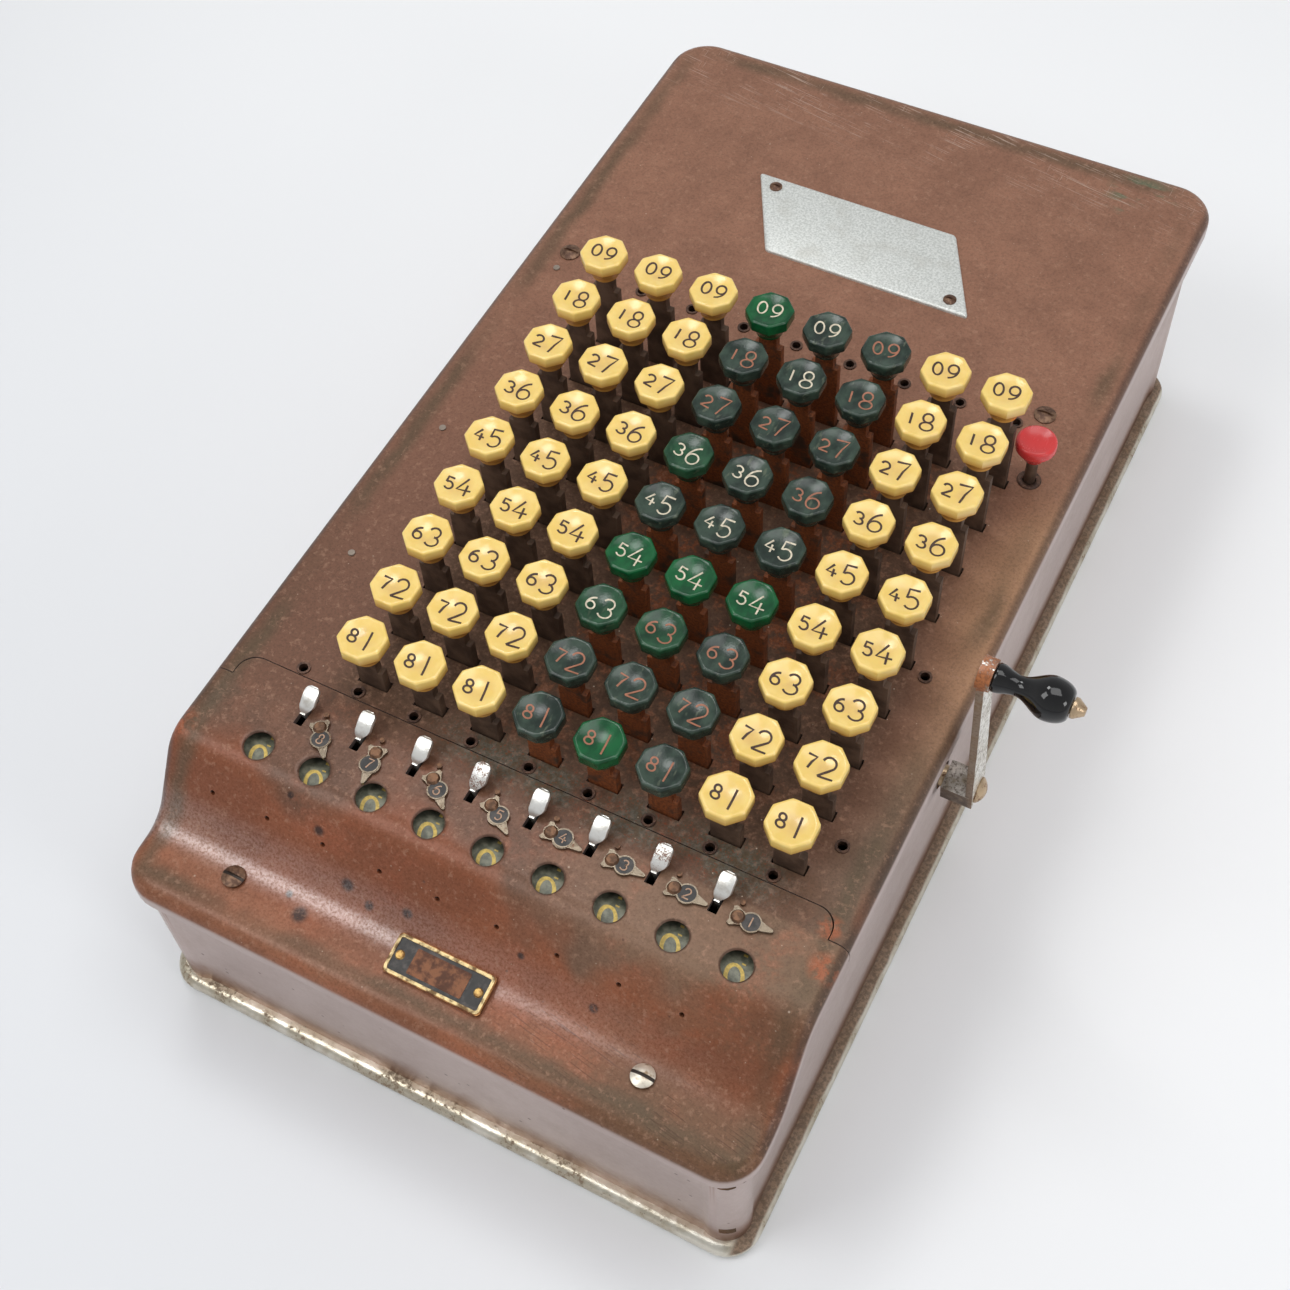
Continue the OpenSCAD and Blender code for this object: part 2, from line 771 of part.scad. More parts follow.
module cross_shafts() {
    reach = frame_in + frame_t;
    color(nickel) {
        translate([0, wheel_y, wheel_z])
            rod_x(-reach, reach, wheel_shaft_d / 2);
        translate([0, cutoff_y, cutoff_z])
            rod_x(-reach, reach, cutoff_shaft_d / 2);
        translate([0, pivot_y, pivot_z])
            rod_x(-reach, reach, lever_shaft_d / 2);
    }
}

module lever_springs() {
    coil_l = 9;
    color(steel)
    for (c = [0:columns - 1])
        translate([column_x(c) - column_pitch / 2 - coil_l / 2, pivot_y, pivot_z])
            difference() {
                rod_x(0, coil_l, lever_shaft_d / 2 + 2);
                translate([-1, 0, 0])
                    rod_x(0, coil_l + 2, lever_shaft_d / 2 + run_clear);
            }
}

module column_levers() {
    rack_w = 5;
    rack_top = cutoff_z - cutoff_shaft_d / 2 - 8;
    color(steel)
    for (c = [0:columns - 1])
        along_x(lever_t, column_x(c))
            difference() {
                union() {
                    translate([lever_front, lever_top - lever_h])
                        square([pivot_y - lever_front, lever_h]);
                    translate([lever_front, lever_top - lever_h])
                        square([rack_w, rack_top - lever_top + lever_h]);
                    translate([pivot_y, pivot_z])
                        circle(lever_hub_r);
                }
                translate([pivot_y, pivot_z])
                    circle(lever_shaft_d / 2 + run_clear);
            }
}

module crank_arm() {
    foot_x = side_x + 0.6;
    foot_h = 8.4;
    color(nickel)
    difference() {
        union() {
            translate([0, crank_at, crank_z])
                rotate([crank_lean, 0, 0])
                    along_x(arm_t, arm_x + arm_t / 2)
                        polygon([[-foot_w / 2, -foot_h / 2], [foot_w / 2, -foot_h / 2],
                                 [arm_w / 2, crank_l], [-arm_w / 2, crank_l]]);
            translate([foot_x, crank_at, crank_z])
                rotate([crank_lean, 0, 0])
                    translate([0, -foot_w / 2, -foot_h / 2])
                        cube([arm_x + arm_t / 2 - foot_x, foot_w - 1, foot_h]);
            translate([0, boss_y, boss_z])
                rod_x(arm_x - 0.3, arm_x + arm_t + boss_proud, boss_r);
        }
        translate([0, boss_y, boss_z])
            rod_x(arm_x - 2, arm_x + arm_t + 2, spindle_r);
        translate([0, crank_at, crank_z])
            rod_x(arm_x, arm_x + arm_t + 2, 1.6);
    }
}

module crank_handle() {
    flare_r = flare_d / 2;
    neck_r = neck_d / 2;
    bulb_r = bulb_d / 2;
    bulb_at = handle_l * 0.72;
    neck_at = handle_l * 0.3;
    end_r = 3.1;
    drop = bulb_r - end_r;
    color("black")
    translate([handle_x, boss_y, boss_z])
        rotate([0, 90, 0])
            rotate_extrude()
                polygon(concat(
                    [[spindle_r + run_clear, 0]],
                    [for (t = [0:0.125:1])
                        [flare_r + (neck_r - flare_r) * sin(90 * t), neck_at * t]],
                    [for (t = [0.125:0.125:1])
                        [neck_r + (bulb_r - neck_r) * (1 - cos(180 * t)) / 2, neck_at + (bulb_at - neck_at) * t]],
                    [for (t = [0.125:0.125:1])
                        [end_r + drop * cos(90 * t), bulb_at + (handle_l - bulb_at) * sin(90 * t)]],
                    [[spindle_r + run_clear, handle_l]]));
}

module crank_hardware() {
    nut_x = handle_x + handle_l + 0.2;
    color(steel) {
        translate([0, crank_at, crank_z]) {
            rod_x(frame_in - 6, side_x + 0.6, crank_shaft_d / 2);
            rod_x(arm_x, arm_x + arm_t, 1.6);
            translate([arm_x + arm_t, 0, 0])
                rotate([0, 90, 0])
                    intersection() {
                        cylinder(r = 4.2, h = 2.6);
                        translate([0, 0, -2.6])
                            sphere(5.2);
                    }
        }
        translate([0, boss_y, boss_z]) {
            rod_x(arm_x - 0.3, nut_x + 1, spindle_r);
            translate([nut_x, 0, 0])
                rotate([0, 90, 0]) {
                    cylinder(r = 2.9, h = 0.9);
                    translate([0, 0, 0.9])
                        cylinder(r1 = 2.9, r2 = 1.2, h = 2.6);
                }
        }
    }
}

module release_key() {
    r = release_d / 2;
    stem_r = release_stem_d / 2;
    chamfer = release_h / 3;
    taper_z = release_top - release_h - release_taper;
    stem_z = under_z - 2 * release_travel;
    hollow_r = (r * r + dish * dish) / (2 * dish);
    color("crimson")
    translate([release_at_x, release_at, 0])
        difference() {
            rotate_extrude()
                polygon([[0, stem_z], [stem_r, stem_z], [stem_r, taper_z], [stem_r + 0.8, taper_z],
                         [r, release_top - release_h], [r, release_top - chamfer],
                         [r - chamfer, release_top], [0, release_top]]);
            translate([0, 0, release_top + hollow_r - dish])
                sphere(hollow_r);
        }
}

module key_cap() {
    corner_r = cap_w / 2 / cos(22.5);
    rim_r = cap_w / 2 - cap_bevel;
    dish_r = (rim_r * rim_r + dish * dish) / (2 * dish);
    difference() {
        union() {
            cylinder(d1 = hub_d, d2 = hub_top_d, h = hub_h);
            translate([0, 0, hub_h])
                intersection() {
                    rotate([0, 0, 22.5])
                        cylinder(r = corner_r, h = cap_h, $fn = 8);
                    translate([0, 0, -cap_h])
                        cylinder(r1 = hub_top_d / 2 - cap_h, r2 = hub_top_d / 2 + cap_h, h = 2 * cap_h);
                    cylinder(r1 = rim_r + cap_h, r2 = rim_r, h = cap_h);
                }
            cylinder(d = hub_d, h = hub_h + cap_h / 2);
        }
        translate([0, 0, hub_h + cap_h - dish + dish_r])
            sphere(dish_r);
    }
}

// Three cream columns, three green ones, then two cream ones
function cap_colour(c) = c < 3 || c > 5 ? cream : green;

module key_caps(n) {
    for (c = [0:columns - 1])
        color(cap_colour(c))
            translate([column_x(c), row_y(n), cap_bottom(n)])
                key_cap();
}

module key_stems(n) {
    shoulder = cap_bottom(n) - neck_h;
    color(steel)
    for (c = [0:columns - 1])
        translate([column_x(c), row_y(n), 0]) {
            translate([-stem_w / 2, -stem_t / 2, stem_bottom(n)])
                cube([stem_w, stem_t, shoulder - stem_bottom(n)]);
            translate([-neck_w / 2, -stem_t / 2, shoulder])
                cube([neck_w, stem_t, neck_h]);
        }
}

module gear_outline(teeth, r, tooth) {
    polygon([for (i = [0:teeth - 1], k = [0:3])
        let (a = 360 * (i + [0, 0.2, 0.45, 0.65][k]) / teeth, q = k == 1 || k == 2 ? r : r - tooth)
            [q * cos(a), q * sin(a)]]);
}

module numeral_wheel(i) {
    hub_w = column_pitch - 2;
    gear_w = 1.6;
    color([0.2, 0.22, 0.2])
    translate([wheel_x(i), wheel_y, wheel_z])
        difference() {
            union() {
                rod_x(-wheel_w / 2, wheel_w / 2, wheel_r);
                rod_x(-hub_w / 2, hub_w / 2, wheel_shaft_d / 2 + 2);
                along_x(gear_w, wheel_w / 2 + 1.5)
                    gear_outline(gear_teeth, wheel_r * 0.72, 1.6);
                rod_x(wheel_w / 2, wheel_w / 2 + 1, wheel_r * 0.5);
            }
            rod_x(-column_pitch, column_pitch, wheel_shaft_d / 2 + run_clear);
        }
}

module decimal_pointer(c) {
    color(nickel)
    translate([pointer_x(c), pointer_y, top_z + pointer_lift])
        rotate([0, 0, -pointer_turn[c]])
            difference() {
                union() {
                    linear_extrude(pointer_t) {
                        circle(2.3);
                        polygon([[-1.6, 1.6], [-3, -1.2], [-2.6, -2.2], [-1.2, -1.9], [1.2, -1.9], [2.6, -2.2],
                                 [3, -1.2], [1.6, 1.6]]);
                    }
                    translate([0, disc_reach, 0])
                        cylinder(r = 2.9, h = pointer_t);
                    linear_extrude(pointer_t)
                        polygon([[-2.2, disc_reach], [-0.5, pointer_l - 0.4], [0, pointer_l],
                                 [0.5, pointer_l - 0.4], [2.2, disc_reach]]);
                }
                translate([0, 0, -1])
                    cylinder(r = rivet_d / 2 + run_clear, h = pointer_t + 2);
            }
}

module cutoff_lever(c) {
    root_y = cutoff_y - cutoff_reach;
    root_z = top_z + 1.2;
    hub_r = cutoff_shaft_d / 2 + 1.6;
    bend_c = [root_y + 7.7, root_z - 2.2];
    color(nickel)
    translate([cutoff_x(c), 0, 0]) {
        along_x(cutoff_t)
            difference() {
                union() {
                    polygon([[cutoff_y - hub_r, cutoff_z], [cutoff_y + hub_r, cutoff_z],
                             [root_y + 4, root_z], [root_y - 0.6, root_z]]);
                    translate([cutoff_y, cutoff_z])
                        circle(hub_r);
                }
                translate([cutoff_y, cutoff_z])
                    circle(cutoff_shaft_d / 2 + run_clear);
            }
        intersection() {
            along_x(finger_w)
                difference() {
                    translate(bend_c)
                        circle(finger_r);
                    translate(bend_c)
                        circle(finger_r - 1.2);
                    translate([bend_c.x - 1, bend_c.y - 2 * finger_r])
                        square(4 * finger_r);
                }
            translate([0, root_y, root_z])
                rotate([90, 0, 0])
                    linear_extrude(6 * finger_r, center = true)
                        polygon([[-cutoff_t / 2, 0], [cutoff_t / 2, 0], [finger_w / 2, 2.6],
                                 [finger_w / 2, 5], [finger_w / 2 - 1.2, 7], [1.2 - finger_w / 2, 7],
                                 [-finger_w / 2, 5], [-finger_w / 2, 2.6]]);
        }
    }
}

base_plate();
case_shell();
top_plate();
front_cover();
case_screws();
name_plate();
number_tag();
plate_rivets();
side_frames();
key_guide();
cross_shafts();
lever_springs();
column_levers();
crank_arm();
crank_handle();
crank_hardware();
release_key();
for (n = [1:rows]) key_caps(n);
for (n = [1:rows]) key_stems(n);
for (i = [1:columns + 1]) numeral_wheel(i - 1);
for (c = [1:columns]) decimal_pointer(c - 1);
for (c = [1:columns]) cutoff_lever(c - 1);
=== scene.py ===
"""Looks of the key-driven calculator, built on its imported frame. X is right, Y is back and Z is up.

Shapes are worked out in millimetres and become metres as they are built.
"""
import json
from math import atan2, cos, dist, hypot, pi, radians, sin, sqrt, tan

import bpy
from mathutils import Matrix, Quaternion, Vector
from mathutils.geometry import delaunay_2d_cdt


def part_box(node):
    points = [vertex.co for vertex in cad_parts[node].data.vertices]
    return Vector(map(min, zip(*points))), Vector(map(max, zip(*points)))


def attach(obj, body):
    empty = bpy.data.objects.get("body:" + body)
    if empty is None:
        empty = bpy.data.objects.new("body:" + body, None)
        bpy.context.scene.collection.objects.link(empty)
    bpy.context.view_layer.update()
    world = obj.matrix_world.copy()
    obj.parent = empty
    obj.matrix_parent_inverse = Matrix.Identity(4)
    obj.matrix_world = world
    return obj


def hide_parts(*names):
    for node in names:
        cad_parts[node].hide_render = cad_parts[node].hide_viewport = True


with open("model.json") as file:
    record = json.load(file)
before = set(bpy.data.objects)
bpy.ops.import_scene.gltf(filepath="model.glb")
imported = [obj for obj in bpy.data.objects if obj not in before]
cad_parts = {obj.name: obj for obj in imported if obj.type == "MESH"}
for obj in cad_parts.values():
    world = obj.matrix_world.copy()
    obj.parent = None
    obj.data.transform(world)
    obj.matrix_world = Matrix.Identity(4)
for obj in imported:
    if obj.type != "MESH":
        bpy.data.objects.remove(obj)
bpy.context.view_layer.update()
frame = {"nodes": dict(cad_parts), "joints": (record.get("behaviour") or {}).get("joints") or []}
scene = bpy.context.scene
scene.view_settings.view_transform = "Standard"
nodes = frame["nodes"]
joints = {joint["name"]: joint for joint in frame["joints"]}
MM = 0.001
ROWS = range(1, 10)
COLUMNS = range(8)
WHEELS = range(1, 10)
GREEN_COLUMNS = (3, 4, 5)


# Places taken from the frame

def box(node):
    """Lowest and highest corner of a node, in mm."""
    low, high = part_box(node)
    return low / MM, high / MM


def pivot(joint):
    """Place of a hinge, in mm."""
    return Vector(joints[joint]["pos_m"]) / MM


wheel_pivots = [pivot(f"wheel_{i}_turn") for i in WHEELS]
column_x = [place.x for place in wheel_pivots[1:]]
half_pitch = (column_x[1] - column_x[0]) / 2
cutoff_pivots = [pivot(f"cutoff_{c + 1}_swing") for c in COLUMNS]
window_y = wheel_pivots[0].y
front_y = box("case_shell")[0].y
lip_y = box("front_cover")[0].y
seam_y = box("front_cover")[1].y
top_x = box("front_cover")[1].x
top_z = box("front_cover")[1].z
back_y = box("top_plate")[1].y


# Outline of the front cover's ogee, as the frame has it

SHOULDER_R = 11
OGEE_ANGLE = radians(57)
COVE_R = 14
SHELF_Z = 70.8
SHELF_SLOPE = radians(3)
NOSE_R = 6
SIDE_ROLL_R = 4
CORNER_R = 12
TONGUE_X = 95.7
TONGUE_R = 6
SEAM_STEP = 8.1
SKIRT = 2.2
shoulder_y = front_y + 42.5
margin_y = seam_y - SEAM_STEP
shoulder_end = (shoulder_y - SHOULDER_R * sin(OGEE_ANGLE),
                top_z - SHOULDER_R * (1 - cos(OGEE_ANGLE)))
ramp_drop = (shoulder_end[1] - SHELF_Z
             - COVE_R * (cos(SHELF_SLOPE) - cos(OGEE_ANGLE)))
ramp_end = (shoulder_end[0] - ramp_drop / tan(OGEE_ANGLE), shoulder_end[1] - ramp_drop)
cove_centre = (ramp_end[0] - COVE_R * sin(OGEE_ANGLE), ramp_end[1] + COVE_R * cos(OGEE_ANGLE))
shelf_start = (cove_centre[0] + COVE_R * sin(SHELF_SLOPE),
               cove_centre[1] - COVE_R * cos(SHELF_SLOPE))


def cover_z(y):
    """Height of the cover's upper face at a depth."""
    if y >= shoulder_y:
        return top_z
    if y >= shoulder_end[0]:
        return top_z - SHOULDER_R + sqrt(SHOULDER_R ** 2 - (y - shoulder_y) ** 2)
    if y >= ramp_end[0]:
        return shoulder_end[1] + (y - shoulder_end[0]) * tan(OGEE_ANGLE)
    if y >= shelf_start[0]:
        return cove_centre[1] - sqrt(COVE_R ** 2 - (y - cove_centre[0]) ** 2)
    return shelf_start[1] + (y - shelf_start[0]) * tan(SHELF_SLOPE)


def spread(first, last, count):
    """Evenly spaced values, both ends among them."""
    return [first + (last - first) * i / (count - 1) for i in range(count)]


# Camera, light and floor

LAMP_AIM = Vector((0, 0, 0.07))


def stand(name, data, place, back, roll=0.0):
    """A camera or lamp with its back to a direction, its place in metres."""
    thing = bpy.data.objects.new(name, data)
    thing.location = place
    thing.rotation_mode = "QUATERNION"
    thing.rotation_quaternion = (-back).to_track_quat("-Z", "Y") @ Quaternion((0, 0, 1), roll)
    scene.collection.objects.link(thing)
    return thing


def make_camera():
    """The photo's view, from high up at the right front."""
    azimuth = radians(31.45)
    elevation = radians(55.63)
    roll = radians(-4.62)
    level = cos(elevation)
    back = Vector((sin(azimuth) * level, -cos(azimuth) * level, sin(elevation)))
    data = bpy.data.cameras.new("camera")
    data.lens = 52.95
    data.shift_x = 0.0095
    data.shift_y = -0.0246
    scene.camera = stand("camera", data, Vector((166.9, -324.9, 562.3)) * MM, back, roll)


def make_lamp(name, direction, distance, size, power):
    """A softbox that shines at the object from that direction, in metres and watts."""
    data = bpy.data.lights.new(name, "AREA")
    data.shape = "RECTANGLE"
    data.size, data.size_y = size
    data.energy = power
    back = Vector(direction).normalized()
    stand(name, data, LAMP_AIM + back * distance, back)


def make_world():
    """A studio sky that is pale at the horizon and dimmer overhead."""
    world = bpy.data.worlds.new("studio")
    world.use_nodes = True
    scene.world = world
    tree = world.node_tree
    place = tree.nodes.new("ShaderNodeTexCoord").outputs["Generated"]
    split = tree.nodes.new("ShaderNodeSeparateXYZ")
    tree.links.new(place, split.inputs[0])
    ramp = tree.nodes.new("ShaderNodeValToRGB")
    tree.links.new(split.outputs["Z"], ramp.inputs["Fac"])
    ramp.color_ramp.elements[0].position = 0.05
    ramp.color_ramp.elements[0].color = (0.62, 0.625, 0.635, 1)
    ramp.color_ramp.elements[1].position = 0.9
    ramp.color_ramp.elements[1].color = (0.43, 0.435, 0.445, 1)
    tree.links.new(ramp.outputs["Color"], tree.nodes["Background"].inputs["Color"])


def make_floor():
    """White paper, with painted shade that makes it a little greyer towards the front left."""
    half = 4.0
    corners = [(-half, -half, 0), (half, -half, 0), (half, half, 0), (-half, half, 0)]
    mesh = bpy.data.meshes.new("floor")
    mesh.from_pydata(corners, [], [(0, 1, 2, 3)])
    floor = bpy.data.objects.new("floor", mesh)
    f = Finish("floor_paper")
    # Painted shade: the paper is greyer towards the front left.
    across = f.math("ADD", f.times(f.x, 0.6), f.y)
    f.colour = f.tint(across, (225, 227, 230), (248, 249, 250), -420, 160)
    mesh.materials.append(f.shade(Roughness=0.8))
    scene.collection.objects.link(floor)


# Materials

def srgb(red, green, blue):
    """A colour written as it looks on screen, 0 to 255, as linear values."""
    def linear(value):
        value /= 255
        return value / 12.92 if value <= 0.04045 else ((value + 0.055) / 1.055) ** 2.4
    return (linear(red), linear(green), linear(blue), 1)


class Finish:
    """One procedural material. Methods that add a node return its output, and lengths are in mm."""

    def __init__(self, name):
        self.material = bpy.data.materials.new(name)
        self.material.use_nodes = True
        self.tree = self.material.node_tree
        self.shader = self.tree.nodes["Principled BSDF"]
        metres = self.tree.nodes.new("ShaderNodeTexCoord").outputs["Object"]
        self.place = self.vector("MULTIPLY", metres, (1 / MM,) * 3)
        self.colour = None
        self.x, self.y, self.z = self.add("ShaderNodeSeparateXYZ", Vector=self.place).outputs

    def put(self, socket, value):
        """Links an output to an input, or sets the input to a plain value."""
        if isinstance(value, bpy.types.NodeSocket):
            self.tree.links.new(value, socket)
        else:
            socket.default_value = value

    def add(self, kind, **values):
        """A node, with its inputs by name and its settings."""
        node = self.tree.nodes.new(kind)
        for name, value in values.items():
            label = name.replace("_", " ")
            if label in node.inputs:
                self.put(node.inputs[label], value)
            else:
                setattr(node, name, value)
        return node

    def shade(self, **values):
        """The finished material, with the shader's inputs by name."""
        self.put(self.shader.inputs["Base Color"], self.colour)
        for name, value in values.items():
            self.put(self.shader.inputs[name.replace("_", " ")], value)
        return self.material

    def operate(self, kind, operation, values):
        node = self.add(kind, operation=operation)
        for socket, value in zip(node.inputs, values):
            self.put(socket, value)
        return node.outputs

    def vector(self, operation, *values):
        outputs = self.operate("ShaderNodeVectorMath", operation, values)
        return outputs["Value" if operation == "DISTANCE" else "Vector"]

    def math(self, operation, *values):
        return self.operate("ShaderNodeMath", operation, values)[0]

    def times(self, first, *others):
        for other in others:
            first = self.math("MULTIPLY", first, other)
        return first

    def most(self, first, *others):
        for other in others:
            first = self.math("MAXIMUM", first, other)
        return first

    def step(self, value, low, high):
        """0 at low and 1 at high, eased between them; low may be the larger."""
        node = self.add("ShaderNodeMapRange", interpolation_type="SMOOTHSTEP",
                        Value=value, From_Min=low, From_Max=high)
        return node.outputs[0]

    def between(self, value, low, high, edge):
        """1 from low to high, fading over edge at both ends."""
        rise = self.step(value, low - edge, low + edge)
        return self.times(rise, self.step(value, high + edge, high - edge))

    def scaled(self, size, stretch):
        return self.vector("DIVIDE", self.place, tuple(size * part for part in stretch))

    def noise(self, size, detail=4, roughness=0.55, stretch=(1, 1, 1)):
        """Clouds about size across, drawn out by stretch."""
        return self.add("ShaderNodeTexNoise", Vector=self.scaled(size, stretch), Scale=1.0,
                        Detail=detail, Roughness=roughness).outputs[0]

    def specks(self, size, radius, share):
        """Round grains of up to that radius, in a share of the cells of that size."""
        cells = self.add("ShaderNodeTexVoronoi", Vector=self.scaled(size, (1, 1, 1)), Scale=1.0)
        chance = self.add("ShaderNodeSeparateXYZ", Vector=cells.outputs["Color"]).outputs[0]
        return self.times(self.step(cells.outputs["Distance"], radius / size, radius / size * 0.6),
                          self.step(chance, 1 - share, 1.001 - share))

    def spot(self, place, radius):
        """1 at the middle of a round patch and 0 at its edge."""
        return self.step(self.vector("DISTANCE", self.place, place), radius, radius * 0.35)

    def mix(self, factor, first, second):
        """A colour between two, each an output or three values as seen on screen."""
        node = self.add("ShaderNodeMix", data_type="RGBA")
        self.put(node.inputs["Factor"], factor)
        for socket, colour in zip(node.inputs[6:8], (first, second)):
            self.put(socket, srgb(*colour) if isinstance(colour, tuple) else colour)
        return node.outputs[2]

    def tint(self, value, first, second, low=0.35, high=0.65):
        """The first colour where the value is at low and the second where it is at high."""
        return self.mix(self.step(value, low, high), first, second)

    def over(self, colour, paint, *masks):
        """The colour with paint over it, where all the masks let it through."""
        return self.mix(self.times(*masks), colour, paint)

    def coat(self, paint, *masks):
        """Puts paint over the material's own colour."""
        self.colour = self.over(self.colour, paint, *masks)

    def blend(self, factor, low, high):
        """A value that goes from low to high with the factor."""
        node = self.add("ShaderNodeMapRange", Value=factor, To_Min=low, To_Max=high)
        return node.outputs[0]

    def wander(self, value, noise, reach):
        """The value, moved up and down by the noise."""
        return self.math("ADD", value, self.blend(noise, -reach, reach))

    def mean(self, first, second):
        return self.math("ADD", self.times(first, 0.5), self.times(second, 0.5))

    def attribute(self, name):
        return self.add("ShaderNodeAttribute", attribute_name=name).outputs["Fac"]

    def facing(self, axis=2):
        """Share of the surface's direction along an axis, upwards unless another is asked for."""
        normal = self.add("ShaderNodeNewGeometry").outputs["Normal"]
        return self.add("ShaderNodeSeparateXYZ", Vector=normal).outputs[axis]

    def bump(self, height, depth):
        """A normal for relief of that depth."""
        node = self.add("ShaderNodeBump", Height=height, Distance=depth * MM, Strength=1.0)
        return node.outputs["Normal"]


# Dark stains on the ogee: place across, place in depth and radius
STAINS = ((-48, -153, 2.34), (-36, -160, 2.86), (-46, -172, 3.38), (-28, -162, 2.08), (-16, -160, 2.34),
          (-59, -149, 1.56), (-52, -168, 1.56), (20, -158, 1.56), (44, -161, 1.95))


class Copper(Finish):
    """The browned case, with the masks that its layers share."""

    def __init__(self):
        super().__init__("copper_case")
        self.broad = self.noise(80, 2)
        self.drift = self.noise(45, 3, stretch=(1, 1.4, 1))
        self.cloud = self.noise(13, 5)
        self.fine = self.noise(1.8, 4, 0.65)
        self.grain = self.noise(0.8, 3, 0.7)
        self.loose_x = self.wander(self.x, self.broad, 16)
        self.loose_y = self.wander(self.y, self.drift, 30)
        self.up = self.step(self.facing(), 0.15, 0.42)
        self.ogee = self.step(self.y, margin_y + 1, margin_y - 1)
        self.field = self.times(self.between(self.loose_x, -66, 78, 9),
                                self.between(self.loose_y, -118, 40, 16))


def deck_colour(f):
    """Rosy at the back, darker at the left front, dark brown round the keys and rusty below the green ones.
    """
    deck = f.tint(f.cloud, (139, 100, 81), (153, 111, 90), 0.25, 0.75)
    left = f.tint(f.loose_y, (134, 96, 78), (112, 80, 64), 20, -120)
    f.colour = f.tint(f.loose_y, left, deck, -20, 60)
    # Darker brown over the field of keys.
    key_field_colour = f.tint(f.fine, (84, 64, 50), (112, 86, 68), 0.3, 0.7)
    f.coat(key_field_colour, f.field, 0.85)
    right = f.tint(f.loose_y, (112, 91, 75), (178, 138, 106), -105, -25)
    f.coat(right, f.step(f.loose_x, 78, 96), f.step(f.loose_y, 70, 20), 0.8)
    rust = f.mix(f.grain, (112, 58, 32), (160, 88, 50))
    crust = f.step(f.math("ADD", f.times(f.fine, 0.6), f.times(f.cloud, 0.4)), 0.49, 0.58)
    below_green = f.times(f.between(f.loose_x, -22, 62, 14), f.between(f.loose_y, -112, 30, 12))
    f.coat(rust, below_green, crust, f.step(f.y, -150, -40), 0.85)


def cover_colour(f):
    """Red on the ogee, olive at the right, with a dark ring round each window."""
    tongue = f.tint(f.cloud, (100, 70, 53), (116, 80, 61))
    tongue = f.over(tongue, (136, 108, 87), f.step(f.loose_x, 0, 60), 0.7)
    f.coat(tongue, f.ogee)
    ramp = f.tint(f.drift, (130, 75, 49), (148, 87, 58), 0.4, 0.6)
    f.coat(ramp, f.step(f.loose_y, shoulder_y - 1, shoulder_y - 11), f.ogee, 0.9)
    shelf = f.tint(f.cloud, (128, 82, 58), (148, 97, 71))
    f.coat(shelf, f.step(f.loose_y, cove_centre[0] + 8, cove_centre[0] - 4), f.ogee, 0.9)
    murk = f.times(f.step(f.loose_x, 30, 95), f.between(f.loose_y, -165, -132, 8))
    f.coat((110, 92, 72), murk, f.step(f.cloud, 0.38, 0.6), 0.5)
    f.coat((106, 82, 62), f.step(f.loose_x, 20, 75), f.step(f.y, -162, -174), 0.75)
    orange = f.times(f.step(f.noise(26, 3), 0.52, 0.66), f.step(f.fine, 0.35, 0.6))
    f.coat((172, 84, 52), orange, f.step(f.y, -108, -128), 0.2)
    across = f.math("WRAP", f.math("SUBTRACT", f.x, wheel_pivots[0].x), -half_pitch, half_pitch)
    along = f.math("SUBTRACT", f.y, window_y)
    away = f.math("SQRT", f.math("ADD", f.times(across, across), f.times(along, along)))
    windows = f.between(f.x, wheel_pivots[0].x - half_pitch, wheel_pivots[-1].x + half_pitch, 1)
    f.coat((74, 54, 44), f.between(away, 3.5, 5.0, 0.25), windows, 0.7)


def edge_wear(f):
    """Dull patina inside the edges, dark rolls, and rubbed copper at the front."""
    side = f.math("SUBTRACT", top_x, f.math("ABSOLUTE", f.x))
    edge = f.math("MINIMUM", side, f.math("SUBTRACT", f.y, lip_y))
    edge = f.math("MINIMUM", edge, f.math("SUBTRACT", back_y, f.y))
    wavy = f.wander(edge, f.cloud, 3)
    f.coat((86, 76, 58), f.between(wavy, 4, 9, 2.5), f.step(f.broad, 0.34, 0.54), 0.65)
    f.coat((70, 58, 52), f.step(edge, 3.4, 1.2), f.step(f.y, lip_y + 9, lip_y + 14), 0.6)
    rubbed = f.times(f.step(wavy, 4.2, 2), f.step(f.drift, 0.48, 0.6), f.step(f.y, 20, -120))
    f.coat((170, 104, 74), rubbed, 0.35)


def patches(f):
    """Verdigris and rust along the seam, orange at the notches, dark front corners and a green back one."""
    seam = f.between(f.wander(f.y, f.fine, 6), seam_y - 6, seam_y + 8, 4)
    seam = f.times(seam, f.between(f.loose_x, -30, 80, 12))
    verdigris = f.tint(f.fine, (98, 88, 70), (96, 106, 97), 0.42, 0.58)
    f.coat(verdigris, seam, f.step(f.cloud, 0.36, 0.52), 0.7)
    f.coat((140, 66, 40), seam, f.step(f.grain, 0.56, 0.66), 0.7)
    notch = f.most(f.spot((95, -120, 96), 5), f.spot((98, -131, 95), 6), f.spot((-100, -143, 93), 7))
    f.coat((184, 98, 62), notch, f.step(f.noise(3), 0.4, 0.56), 0.55)
    corner = f.most(f.spot((84, -131, 96), 13), f.spot((93, -150, 90), 13), f.spot((-93, -126, 96), 15))
    f.coat((88, 74, 58), corner, f.step(f.cloud, 0.62, 0.42), 0.4)
    flecks = f.step(f.noise(7, 3, stretch=(1.8, 0.7, 1)), 0.5, 0.62)
    f.coat((98, 116, 92), f.spot((78, 176, 96), 15), flecks, 0.75)


